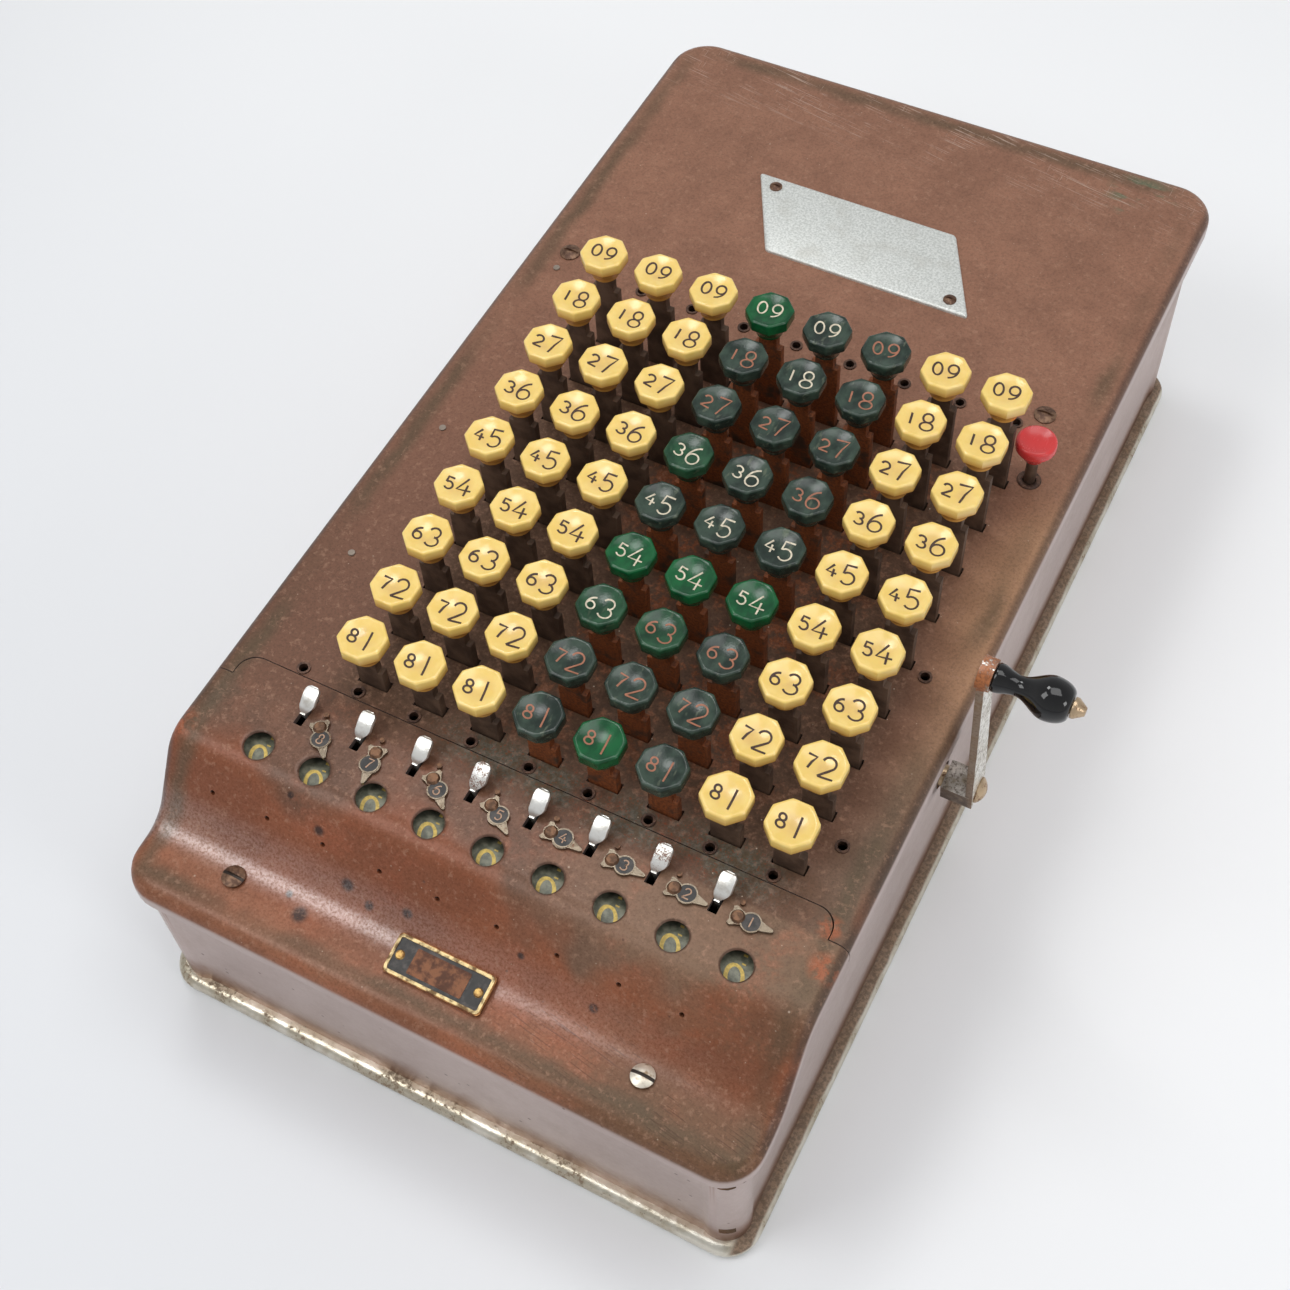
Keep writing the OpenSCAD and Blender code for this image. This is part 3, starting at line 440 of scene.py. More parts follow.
def speckle(f, stains):
    """Stains, dots and pits, and the grain of the finish."""
    f.coat((48, 36, 33), stains, 0.9)
    f.coat((72, 50, 42), f.specks(6, 0.6, 0.22), f.step(f.y, margin_y, margin_y - 6), 0.6)
    f.coat((66, 50, 42), f.step(f.grain, 0.6, 0.7), f.step(f.fine, 0.45, 0.6), 0.35)
    f.coat((44, 30, 24), f.step(f.grain, 0.6, 0.3), 0.28)
    f.coat((182, 142, 118), f.step(f.fine, 0.52, 0.72), 0.32)


def wall_colour_and_floor_reflection(f):
    """Rosy grey, partly a painted reflection of the pale floor, flecked, and brown along the foot."""
    walls = f.tint(f.drift, (178, 160, 154), (191, 174, 168), 0.3, 0.7)
    walls = f.over(walls, (160, 138, 128), f.step(f.cloud, 0.45, 0.75), 0.3)
    walls = f.over(walls, (96, 76, 70), f.specks(4, 0.7, 0.2), 0.7)
    return f.over(walls, (132, 92, 68), f.step(f.wander(f.z, f.cloud, 7), 22, 9), 0.8)


def scratch_mask(f):
    """Slanting scratches at the back and the right front, with others across them at the back."""
    slanted = f.vector("ADD", f.place, f.add("ShaderNodeCombineXYZ", Y=f.times(f.x, 0.18)).outputs[0])
    streaks = f.vector("DIVIDE", slanted, (16, 0.4, 0.4))
    lines = f.add("ShaderNodeTexNoise", Vector=streaks, Scale=1.0, Detail=2.0, Roughness=0.4).outputs[0]
    cross = f.noise(1, 2, 0.4, stretch=(0.35, 9, 6))
    marks = f.most(f.step(lines, 0.61, 0.65), f.times(f.step(cross, 0.68, 0.72), f.step(f.y, 0, 40)))
    front = f.times(f.step(f.x, -40, 40), f.step(f.y, -154, -170), 0.8)
    worn = f.most(f.step(f.y, back_y - 40, back_y - 6), front)
    return f.times(marks, worn, f.up, f.step(f.cloud, 0.42, 0.56))


def copper_finish():
    """Browned copper with all its wear, rosy grey on upright faces partly as painted reflection of the
    floor, glossy in the hollow of the ogee.
    """
    f = Copper()
    stains = f.most(*(f.spot((x, y, cover_z(y)), radius) for x, y, radius in STAINS))
    stains = f.times(stains, f.step(f.fine, 0.26, 0.42))
    scratch = scratch_mask(f)
    deck_colour(f)
    cover_colour(f)
    edge_wear(f)
    patches(f)
    speckle(f, stains)
    # Upright faces take the rosy grey, which is partly a painted reflection of the floor.
    f.colour = f.mix(f.up, wall_colour_and_floor_reflection(f), f.colour)
    bared = f.tint(f.y, (78, 54, 44), (196, 172, 156), 0, 40)
    f.coat(bared, scratch, 0.6)
    dust = f.times(f.most(f.specks(2.6, 0.26, 0.16), f.specks(8, 0.4, 0.2)), f.up)
    f.coat((208, 192, 172), dust, f.blend(f.field, 0.35, 0.8))
    rough = f.wander(f.blend(f.times(f.field, f.up), 0.4, 0.62), f.fine, 0.14)
    relief = f.math("ADD", f.times(f.fine, 0.7), f.times(f.grain, 0.3))
    relief = f.math("SUBTRACT", relief, f.times(f.most(stains, scratch), 0.5))
    hollow = f.between(f.y, cove_centre[0] + 2, cove_centre[0] + 13, 3)
    gloss = f.times(f.ogee, f.blend(f.step(f.grain, 0.3, 0.65), 0.25, 1.0), f.blend(hollow, 0.1, 1.0))
    gloss = f.times(gloss, f.step(f.x, 130, -60), f.up)
    return f.shade(Metallic=f.blend(f.up, 0.85, 0.15), Roughness=rough,
                   Specular_IOR_Level=0.2, Normal=f.bump(relief, 0.07), Coat_Weight=gloss,
                   Coat_Roughness=0.3, Coat_IOR=2.2)


def rim_finish():
    """Worn nickel with rust, and brown dust along the inside of its right-hand run."""
    f = Finish("nickel_rim")
    cloud = f.noise(9, 5)
    fine = f.noise(1.1, 4, 0.65)
    f.colour = f.tint(cloud, (222, 217, 204), (184, 174, 154))
    rust = f.step(f.mean(cloud, fine), 0.55, 0.63)
    f.coat((112, 84, 60), rust, 0.7)
    inner = f.step(f.wander(f.x, cloud, 0.8), 101.9, 101.1)
    dust = f.times(f.step(f.x, 96, 98), inner, f.step(f.facing(), 0.1, 0.4))
    brown = f.tint(fine, (104, 82, 64), (142, 116, 94), 0.4, 0.6)
    f.coat(brown, dust, 0.92)
    dull = f.most(rust, dust)
    return f.shade(Metallic=f.blend(dull, 1, 0.15), Roughness=f.blend(dull, 0.28, 0.8),
                   Normal=f.bump(fine, 0.12))


def nickel_finish(name, rust, pitting=0.05, tint=(238, 237, 232)):
    """Bright nickel plate, pitted, with as much rust as asked."""
    f = Finish(name)
    cloud = f.noise(3.2)
    fine = f.noise(0.5, 3, 0.6)
    dull = f.vector("MULTIPLY", srgb(*tint)[:3], (0.74, 0.71, 0.67))
    f.colour = f.tint(cloud, tint, dull, 0.45, 0.75)
    amount = f.step(f.mean(cloud, fine), 0.66 - 0.2 * rust, 0.72 - 0.2 * rust)
    f.coat((118, 70, 46), amount, 0.85)
    return f.shade(Metallic=f.blend(amount, 0.85, 0.3),
                   Roughness=f.blend(amount, 0.32, 0.7), Normal=f.bump(fine, pitting))


def stem_finish():
    """Browned steel bars, rustier below the green keys."""
    f = Finish("rusty_stem")
    cloud = f.noise(6, 5)
    fine = f.noise(0.8, 4, 0.65)
    f.colour = f.tint(cloud, (74, 56, 44), (104, 82, 66))
    green = f.between(f.x, column_x[GREEN_COLUMNS[0]] - 6, column_x[GREEN_COLUMNS[-1]] + 6, 3)
    rust = f.tint(fine, (104, 56, 30), (150, 84, 44))
    f.coat(rust, green, f.step(cloud, 0.3, 0.5))
    return f.shade(Metallic=0.3, Roughness=f.blend(fine, 0.45, 0.75), Normal=f.bump(fine, 0.1))


def steel_finish():
    """Plain oiled steel of the works."""
    f = Finish("steel_works")
    cloud = f.noise(8)
    fine = f.noise(0.9, 3)
    f.colour = f.tint(cloud, (96, 90, 84), (126, 118, 108))
    return f.shade(Metallic=0.8, Roughness=f.blend(fine, 0.35, 0.6), Normal=f.bump(fine, 0.04))


def brass_finish(name="brass_trim", light=(168, 122, 76), dark=(104, 68, 46)):
    """Yellow or red metal that has dulled in clouds."""
    f = Finish(name)
    cloud = f.noise(2.4)
    fine = f.noise(0.5, 3)
    f.colour = f.tint(cloud, light, dark, 0.4, 0.62)
    return f.shade(Metallic=0.85, Roughness=f.blend(cloud, 0.28, 0.55), Normal=f.bump(fine, 0.04))


def rivet_finish():
    """Dark eyelets, pale metal pins at the left whose paleness is partly a painted highlight, copper rivets
    by the pointers and brass ones on the tag.
    """
    f = Finish("plate_rivet")
    cloud = f.noise(1.6)
    fine = f.noise(0.4, 3)
    dark = f.tint(cloud, (104, 78, 64), (72, 54, 46), 0.4, 0.6)
    copper = f.tint(cloud, (128, 94, 70), (92, 68, 52), 0.4, 0.62)
    brass = f.tint(cloud, (214, 176, 104), (150, 110, 62), 0.4, 0.62)
    f.colour = f.tint(f.y, dark, copper, -119, -121)
    f.coat(brass, f.step(f.y, -150, -152))
    # Pale metal pins at the left, painted pale partly as a highlight.
    f.coat((146, 134, 122), f.step(f.x, -76, -80), f.step(f.y, -100, -90))
    return f.shade(Metallic=0.6, Roughness=f.blend(cloud, 0.35, 0.6), Normal=f.bump(fine, 0.05))


def screw_finish():
    """Browned screws, but the one at the cover's right is bright; dark in the cover screws' slots."""
    f = Finish("case_screw")
    cloud = f.noise(1.8)
    fine = f.noise(0.4, 3)
    brown = f.tint(cloud, (128, 98, 76), (84, 58, 44), 0.38, 0.62)
    bright = f.tint(cloud, (226, 218, 202), (160, 138, 112), 0.45, 0.7)
    clean = f.times(f.step(f.x, 0, 20), f.step(f.y, -150, -160))
    slot_y = lip_y + 16
    # A dark band along the cover screws' slots.
    dark_slot_band = f.between(f.y, slot_y - 0.5, slot_y + 0.5, 0.06)
    f.colour = f.mix(dark_slot_band, f.mix(clean, brown, bright), (48, 38, 32))
    clean = f.times(clean, f.blend(dark_slot_band, 1, 0))
    return f.shade(Metallic=f.blend(clean, 0.5, 0.9), Roughness=f.blend(cloud, 0.3, 0.5),
                   Normal=f.bump(fine, 0.06))


def crank_finish(arm_x):
    """Pitted nickel, brown on its front edge as painted shade, rusty at the boss and dark at the foot by
    the case as painted shade.
    """
    f = Finish("crank_nickel")
    cloud = f.noise(4, 5)
    fine = f.noise(0.7, 3, 0.6)
    hinge = pivot("crank_grip_turn")
    f.colour = f.tint(cloud, (240, 238, 230), (176, 164, 140), 0.45, 0.75)
    pits = f.times(f.step(f.noise(1.1, 3, 0.7), 0.5, 0.6), f.step(cloud, 0.2, 0.5))
    f.coat((122, 108, 92), pits, 0.75)
    # Painted shade: faces turned to the front are brown.
    shaded_front = f.step(f.facing(1), -0.4, -0.7)
    f.coat(f.mix(cloud, (108, 84, 62), (142, 112, 82)), shaded_front, 0.85)
    away = f.vector("DISTANCE", f.place, (arm_x, hinge.y, hinge.z))
    boss = f.times(f.step(away, 8.5, 5.5), f.step(f.mean(cloud, fine), 0.4, 0.5))
    rust = f.tint(fine, (128, 72, 40), (176, 106, 58))
    f.coat(rust, boss, 0.9)
    # Painted shade at the foot, on the side towards the case.
    foot = f.times(f.step(f.z, 66, 52), f.step(f.x, arm_x, arm_x - 2.5), f.step(cloud, 0.3, 0.55))
    f.coat((70, 60, 52), foot, 0.8)
    dull = f.most(pits, shaded_front, boss, foot)
    return f.shade(Metallic=f.blend(dull, 0.9, 0.35), Roughness=f.blend(dull, 0.3, 0.6),
                   Normal=f.bump(fine, 0.14))


def cream_finish():
    """Aged celluloid: amber below, tan in the dish."""
    f = Finish("cream_key")
    cloud = f.noise(5, 3)
    fine = f.noise(0.7, 3)
    depth = f.attribute("depth")
    f.colour = f.tint(cloud, (236, 202, 112), (242, 211, 128))
    # Tan in the middle of the dish.
    f.coat((214, 174, 104), f.step(depth, 0.2, 0.06), f.step(cloud, 0.3, 0.66), 0.7)
    f.coat((196, 128, 44), f.step(f.wander(depth, cloud, 0.15), 0.42, 0.9), 0.75)
    return f.shade(Roughness=f.blend(fine, 0.12, 0.24), Normal=f.bump(fine, 0.01),
                   Subsurface_Weight=0.1, Subsurface_Radius=(0.002, 0.001, 0.0004), Specular_IOR_Level=0.6)


def green_finish():
    """Green celluloid that has gone dark and cloudy on most keys, with painted reflections as pale streaks
    on the dark ones.
    """
    f = Finish("green_key")
    swirl = f.noise(4.5, 4, stretch=(1, 1.6, 1))
    fine = f.noise(0.6, 3)
    tone = f.attribute("tone")
    dark = f.tint(swirl, (30, 42, 36), (58, 74, 63), 0.35, 0.68)
    bright = f.tint(swirl, (8, 66, 36), (18, 92, 50))
    f.colour = f.mix(tone, dark, bright)
    # Painted reflection: pale streaks on the dark keys.
    streak = f.step(f.noise(2, 4, stretch=(1, 3, 1)), 0.58, 0.72)
    f.coat((108, 116, 96), streak, f.step(tone, 0.7, 0.3), 0.5)
    return f.shade(Roughness=f.blend(fine, 0.1, 0.28), Normal=f.bump(fine, 0.03),
                   Specular_IOR_Level=0.4)


def ink_finish(name, plain, rubbed=None):
    """Paint in digits: plain at tone 0 and, where some are rubbed, rubbed at tone 1."""
    f = Finish(name)
    patch = f.step(f.noise(1.2, 3), 0.35, 0.65)
    f.colour = f.mix(f.attribute("tone"), plain, rubbed or plain)
    f.coat((96, 70, 52), patch, 0.35)
    return f.shade(Roughness=0.6)


def gloss_finish(name, colour, roughness, marks):
    """Glossy moulded or turned plastic with faint marks."""
    f = Finish(name)
    cloud = f.noise(3, 3)
    fine = f.noise(0.7, 3, stretch=(1, 4, 1))
    f.colour = f.over(colour, (120, 110, 104), f.step(cloud, 0.45, 0.7), marks)
    return f.shade(Roughness=f.blend(fine, roughness * 0.6, roughness * 1.4), Normal=f.bump(fine, 0.012))


def enamel_finish():
    """The wheels' enamel, worn to a greenish grey."""
    f = Finish("wheel_black")
    cloud = f.noise(2)
    f.colour = f.tint(cloud, (96, 98, 84), (136, 136, 118))
    return f.shade(Roughness=0.4, Normal=f.bump(cloud, 0.03))


def plate_finish():
    """Cast, grainy grey metal."""
    f = Finish("name_plate_metal")
    grain = f.noise(0.8, 3, 0.7)
    cloud = f.noise(12, 3)
    f.colour = f.tint(grain, (196, 199, 194), (228, 230, 226))
    f.coat((184, 182, 172), f.step(cloud, 0.5, 0.7), 0.35)
    return f.shade(Metallic=0.45, Roughness=f.blend(grain, 0.35, 0.55), Normal=f.bump(grain, 0.1))


# Mesh building

SMOOTH_ANGLE = radians(35)


class Shape:
    """Points and faces of one piece, in mm.

    Each face has a material's index, and each point has a tone and a depth for the finishes to read.
    """

    def __init__(self):
        self.points = []
        self.faces = []
        self.slots = []
        self.tones = []
        self.depths = []

    def loft(self, rings, slot=0, tone=0.0, depths=None, capped=True):
        """Skins closed rings of equal length, each anticlockwise as seen from where the next lies."""
        start = len(self.points)
        size = len(rings[0])
        for index, ring in enumerate(rings):
            self.points += ring
            self.tones += [tone] * size
            self.depths += [depths[index] if depths else 0.0] * size
        for row in range(len(rings) - 1):
            for i in range(size):
                a = start + row * size + i
                b = start + row * size + (i + 1) % size
                self.face((a, b, b + size, a + size), slot)
        if capped:
            last = start + (len(rings) - 1) * size
            self.face(tuple(range(start + size - 1, start - 1, -1)), slot)
            self.face(tuple(range(last, last + size)), slot)

    def face(self, corners, slot=0):
        self.faces.append(corners)
        self.slots.append(slot)

    def stroke(self, path, width, place, slot=0, tone=0.0, low=-0.1, high=0.05):
        """A raised line along a path, which is closed if it ends as it starts.

        place(u, v, lift) puts its points on a surface.
        """
        closed = path[0] == path[-1]
        rings = []
        for i, (u, v) in enumerate(path):
            if closed and i in (0, len(path) - 1):
                before, after = path[-2], path[1]
            else:
                before, after = path[max(i - 1, 0)], path[min(i + 1, len(path) - 1)]
            run = dist(before, after)
            su = (before[1] - after[1]) / run * width / 2
            sv = (after[0] - before[0]) / run * width / 2
            rings.append([place(u + su, v + sv, low), place(u + su, v + sv, high),
                          place(u - su, v - sv, high), place(u - su, v - sv, low)])
        self.loft(rings, slot, tone, capped=not closed)

    def build(self, name, body, slot, materials, replaced=()):
        """Makes the piece, which rides on a body and may stand in for frame nodes."""
        mesh = bpy.data.meshes.new(name)
        mesh.from_pydata([Vector(point) * MM for point in self.points], [], self.faces)
        mesh.polygons.foreach_set("material_index", self.slots)
        for label, values in (("tone", self.tones), ("depth", self.depths)):
            mesh.attributes.new(label, "FLOAT", "POINT").data.foreach_set("value", values)
        for material in materials:
            mesh.materials.append(material)
        mesh.validate()
        mesh.shade_smooth()
        mesh.set_sharp_from_angle(angle=SMOOTH_ANGLE)
        piece = bpy.data.objects.new(name, mesh)
        scene.collection.objects.link(piece)
        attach(piece, body)
        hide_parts(*replaced)
        return piece


def modify(piece, kind, **settings):
    """Adds a modifier with its settings."""
    modifier = piece.modifiers.new(kind.lower(), kind)
    for name, value in settings.items():
        setattr(modifier, name, value)


def make_smooth_group():
    """Nodes for a modifier that shades smooth all but the sharp edges."""
    group = bpy.data.node_groups.new("smooth_by_angle", "GeometryNodeTree")
    group.interface.new_socket("Geometry", in_out="INPUT", socket_type="NodeSocketGeometry")
    group.interface.new_socket("Geometry", in_out="OUTPUT", socket_type="NodeSocketGeometry")
    entry = group.nodes.new("NodeGroupInput")
    leave = group.nodes.new("NodeGroupOutput")
    faces = group.nodes.new("GeometryNodeSetShadeSmooth")
    edges = group.nodes.new("GeometryNodeSetShadeSmooth")
    edges.domain = "EDGE"
    angle = group.nodes.new("GeometryNodeInputMeshEdgeAngle")
    small = group.nodes.new("FunctionNodeCompare")
    small.operation = "LESS_THAN"
    small.inputs["B"].default_value = SMOOTH_ANGLE
    group.links.new(angle.outputs["Unsigned Angle"], small.inputs["A"])
    group.links.new(small.outputs[0], edges.inputs["Shade Smooth"])
    group.links.new(entry.outputs[0], faces.inputs["Geometry"])
    group.links.new(faces.outputs[0], edges.inputs["Geometry"])
    group.links.new(edges.outputs[0], leave.inputs[0])
    return group


def circle(radius, count, place):
    """A ring of points; place(u, v) puts each one in space."""
    turns = [2 * pi * i / count for i in range(count)]
    return [place(radius * cos(turn), radius * sin(turn)) for turn in turns]


# Paths, and digits as strokes one unit high

def arc(cu, cv, ru, rv, first, last, count=14):
    """Part of an ellipse about (cu, cv), between two angles in degrees."""
    turns = [radians(turn) for turn in spread(first, last, count)]
    return [(cu + ru * cos(turn), cv + rv * sin(turn)) for turn in turns]


def rounded_box(half_u, half_v, corner, count, start=0):
    """A rectangle with rounded corners; start is the angle, in degrees, where its first corner begins."""
    path = []
    for first in ((start + 90 * quarter) % 360 for quarter in range(4)):
        u = (half_u - corner) * (1 if first in (0, 270) else -1)
        v = (half_v - corner) * (1 if first in (0, 90) else -1)
        path += arc(u, v, corner, corner, first, first + 90, count)
    return path


def loop(cu, cv, ru, rv, count=21):
    """A whole ellipse, which ends on the point it starts from."""
    path = arc(cu, cv, ru, rv, 0, 360, count)
    return path[:-1] + path[:1]


SIX = [arc(0.3, -0.17, 0.6, 0.67, 98, 180), loop(0, -0.19, 0.3, 0.31)]
DIGITS = {
    0: [loop(0, 0, 0.3, 0.5)],
    1: [[(0, 0.5), (0, 0), (0, -0.5)]],
    2: [arc(0, 0.21, 0.29, 0.29, 165, -35) + [(-0.32, -0.49), (-0.3, -0.5), (0.34, -0.5)]],
    3: [arc(0, 0.25, 0.27, 0.25, 155, -80) + arc(0, -0.23, 0.31, 0.27, 85, -155)],
    4: [[(0.08, 0.5), (-0.34, -0.16), (0.36, -0.16)], [(0.12, 0.16), (0.12, -0.5)]],
    5: [[(0.28, 0.5), (-0.18, 0.5), (-0.23, 0.06)] + arc(0, -0.17, 0.3, 0.33, 128, -145)],
    6: SIX,
    7: [[(-0.3, 0.5), (0.3, 0.5), (0.05, 0.05), (-0.1, -0.5)]],
    8: [loop(0, 0.26, 0.23, 0.24), loop(0, -0.24, 0.29, 0.26)],
    9: [[(-u, -v) for u, v in path] for path in SIX],
}


def write_digit(shape, digit, height, width, place, slot, tone=0.0, **lift):
    """One digit of that height, in strokes of that width."""
    for path in DIGITS[digit]:
        shape.stroke([(u * height, v * height) for u, v in path], width, place, slot, tone, **lift)


# Key caps

CAP_H = 9.5
CAP_EDGE = 0.75
DISH = 1.0
CAP_POINTS = 64
# Reach of an octagon's blunt corners, as a multiple of the reach of its flats
BLUNT_REACH = 1.074
CREAM_LINE = 0.66
GREEN_LINE = 0.52
# Heights and radii of the round hub, then heights and insets of the eight sides
CAP_HUB = ((0.0, 3.9), (0.2, 4.25), (1.2, 4.35), (1.8, 4.7), (3.0, 5.3), (4.0, 5.75))
CAP_SIDE = ((4.5, 0.95), (5.1, 0.4), (5.5, 0.1), (5.9, 0.0), (8.3, 0.03))
# Rings of the dish, as shares of its rim
DISH_RINGS = (0.97, 0.92, 0.86, 0.78, 0.68, 0.54, 0.4, 0.26, 0.12)
# Height, place across and place along the cap, for the small digit and the big one
DIGIT_PLACES = ((4.2, -2.9, -0.4), (6.6, 2.0, -0.4))
NINE_PLACES = ((4.6, -2.6, 0.2), (5.2, 2.0, 0.6))
# Keys by digit and column
BRIGHT_GREEN = {(9, 3), (4, 3), (4, 4), (4, 5), (1, 4)}
MIDDLE_GREEN = {(6, 3), (3, 3), (3, 4)}
PALE_INK = {(9, 3), (9, 4), (8, 4), (6, 3), (6, 4), (5, 3), (5, 4), (5, 5), (4, 3), (4, 4), (4, 5), (3, 3)}


def octagon(radius, share, x, y, z):
    """A ring between a circle, at share 0, and an octagon with blunt corners, at share 1."""
    ring = []
    for i in range(CAP_POINTS):
        turn = 2 * pi * i / CAP_POINTS
        off_flat = (turn + pi / 8) % (pi / 4) - pi / 8
        reach = radius * (1 + share * (min(1 / cos(off_flat), BLUNT_REACH) - 1))
        ring.append((x + reach * cos(turn), y + reach * sin(turn), z))
    return ring


def add_cap(shape, x, y, top, half, big, line, tone=0.0, ink=0.0):
    """One dished cap with its two cut digits, written with lines of that width."""
    foot = top - CAP_H
    rim = half - CAP_EDGE

    def dish_z(radius):
        return top - DISH * (1 - (radius / rim) ** 2)

    rings = [octagon(radius, 0, x, y, foot + z) for z, radius in CAP_HUB]
    depths = [1.0] * len(CAP_HUB)
    for z, inset in CAP_SIDE:
        rings.append(octagon(half - inset, 1, x, y, foot + z))
        depths.append(0.95 - 0.14 * (z - CAP_SIDE[0][0]))
    for turn in spread(0, pi / 2, 6)[1:]:
        drop = CAP_EDGE * (1 - sin(turn))
        rings.append(octagon(rim + CAP_EDGE * cos(turn), 1, x, y, top - drop))
        depths.append(0.25)
    for share in DISH_RINGS:
        flat = octagon(rim * share, max(0.0, share * 5 - 4), x, y, top)
        rings.append([(px, py, dish_z(min(dist((px, py), (x, y)), rim))) for px, py, _ in flat])
        depths.append(0.22 * share)
    shape.loft(rings, 0, tone, depths)
    sway = radians(5) * sin(7.3 * x + 3.1 * y)
    for digit, (height, du, dv) in zip((9 - big, big), NINE_PLACES if big == 9 else DIGIT_PLACES):

        def place(u, v, lift):
            slanted = u + du - 0.1 * v
            px = slanted * cos(sway) - (v + dv) * sin(sway)
            py = slanted * sin(sway) + (v + dv) * cos(sway)
            return (x + px, y + py, dish_z(hypot(px, py)) + lift)

        write_digit(shape, digit, height, line, place, 1, ink)


def key_caps(cream, green, ink_dark, ink_pale):
    """The caps of each digit's row: one piece for the cream ones and one for the green."""
    for n in ROWS:
        low, high = box(f"key_caps_{n}")
        y = (low.y + high.y) / 2
        half = column_x[0] - low.x
        pale, deep = Shape(), Shape()
        for c in COLUMNS:
            if c in GREEN_COLUMNS:
                tone = 1.0 if (n, c) in BRIGHT_GREEN else 0.5 if (n, c) in MIDDLE_GREEN else 0.0
                ink = 0.0 if (n, c) in PALE_INK else 1.0
                add_cap(deep, column_x[c], y, high.z, half, n, GREEN_LINE, tone, ink)
            else:
                add_cap(pale, column_x[c], y, high.z, half, n, CREAM_LINE)
        pale.build(f"cream_caps_{n}", f"key_row_{n}", "cream_key", [cream, ink_dark], [f"key_caps_{n}"])
        deep.build(f"green_caps_{n}", f"key_row_{n}", "green_key", [green, ink_pale], [f"key_caps_{n}"])


# Front cover

SHEET_T = 2.0
WINDOW_R = 4.45
PIN_HOLE_R = 0.8
PIN_HOLE_LEFT = 9.2
PIN_HOLE_FRONT = 14.7
SLOT_HALF_W = 1.4
SLOT_FRONT = 12.4
SLOT_BACK = 2.6


def cover_outline():
    """Places along the right half of the cover's edge, from the margin to mid-lip, each with its roll."""
    inset_x = top_x - SIDE_ROLL_R
    corner_y = lip_y + CORNER_R
    edge = [((inset_x, y), (SIDE_ROLL_R, 0)) for y in cover_rows() if corner_y < y <= margin_y]
    for turn in spread(0, pi / 2, 10):
        place = (top_x - CORNER_R + (CORNER_R - SIDE_ROLL_R) * cos(turn),
                 corner_y - (CORNER_R - NOSE_R) * sin(turn))
        edge.append((place, (SIDE_ROLL_R * cos(turn), -NOSE_R * sin(turn))))
    for x in spread(top_x - CORNER_R, 0, 20)[1:]:
        edge.append(((x, lip_y + NOSE_R), (0, -NOSE_R)))
    return edge


def cover_rows():
    """Depths of the rows of points, closer together where the ogee bends."""
    rows = spread(seam_y, shoulder_y, 8)
    rows += [shoulder_y - SHOULDER_R * sin(turn) for turn in spread(0, OGEE_ANGLE, 13)[1:]]
    rows += spread(shoulder_end[0], ramp_end[0], 5)[1:]
    rows += [cove_centre[0] + COVE_R * sin(turn) for turn in spread(OGEE_ANGLE, SHELF_SLOPE, 13)[1:]]
    rows += spread(shelf_start[0], lip_y + NOSE_R, 6)[1:]
    return sorted(rows + [margin_y], reverse=True)


def cover_holes():
    """The holes, each as its middle, its half sizes and whether it is round."""
    holes = [((place.x, window_y), (WINDOW_R, WINDOW_R), True) for place in wheel_pivots]
    flat = cos(OGEE_ANGLE)
    holes += [((place.x - PIN_HOLE_LEFT, window_y - PIN_HOLE_FRONT), (PIN_HOLE_R, PIN_HOLE_R * flat), True)
              for place in wheel_pivots]
    half = (SLOT_FRONT - SLOT_BACK) / 2
    for place in cutoff_pivots:
        holes.append(((place.x, place.y - SLOT_BACK - half), (SLOT_HALF_W, half), False))
    return holes


def hole_distance(point, hole):
    """1 on the edge of a hole, less inside it and more outside."""
    (cx, cy), (rx, ry), rounded = hole
    u, v = abs(point[0] - cx) / rx, abs(point[1] - cy) / ry
    return hypot(u, v) if rounded else max(u, v)


def hole_loop(hole, grow):
    """Points round a hole; grow moves them outwards if it is round."""
    (cx, cy), (rx, ry), rounded = hole
    if rounded:
        count = 40 if rx > 2 else 16
        return [(cx + (rx + grow) * cos(turn), cy + (ry + grow * ry / rx) * sin(turn))
                for turn in (2 * pi * i / count for i in range(count))]
    return [(cx + rx * u, cy + ry * v) for u, v in ((1, 1), (-1, 1), (-1, -1), (1, -1))]


def inside_cover(x, y):
    """True within the flat part of the cover, short of its rolled edges."""
    x = abs(x)
    if y > margin_y:
        corner_x, corner_y = TONGUE_X - TONGUE_R, seam_y - TONGUE_R
        if x > corner_x and y > corner_y:
            return hypot(x - corner_x, y - corner_y) < TONGUE_R
        return x < TONGUE_X
    corner_x, corner_y = top_x - CORNER_R, lip_y + CORNER_R
    if x > corner_x and y < corner_y:
        across = (x - corner_x) / (CORNER_R - SIDE_ROLL_R)
        along = (y - corner_y) / (CORNER_R - NOSE_R)
        return hypot(across, along) < 1
    return x < top_x - SIDE_ROLL_R


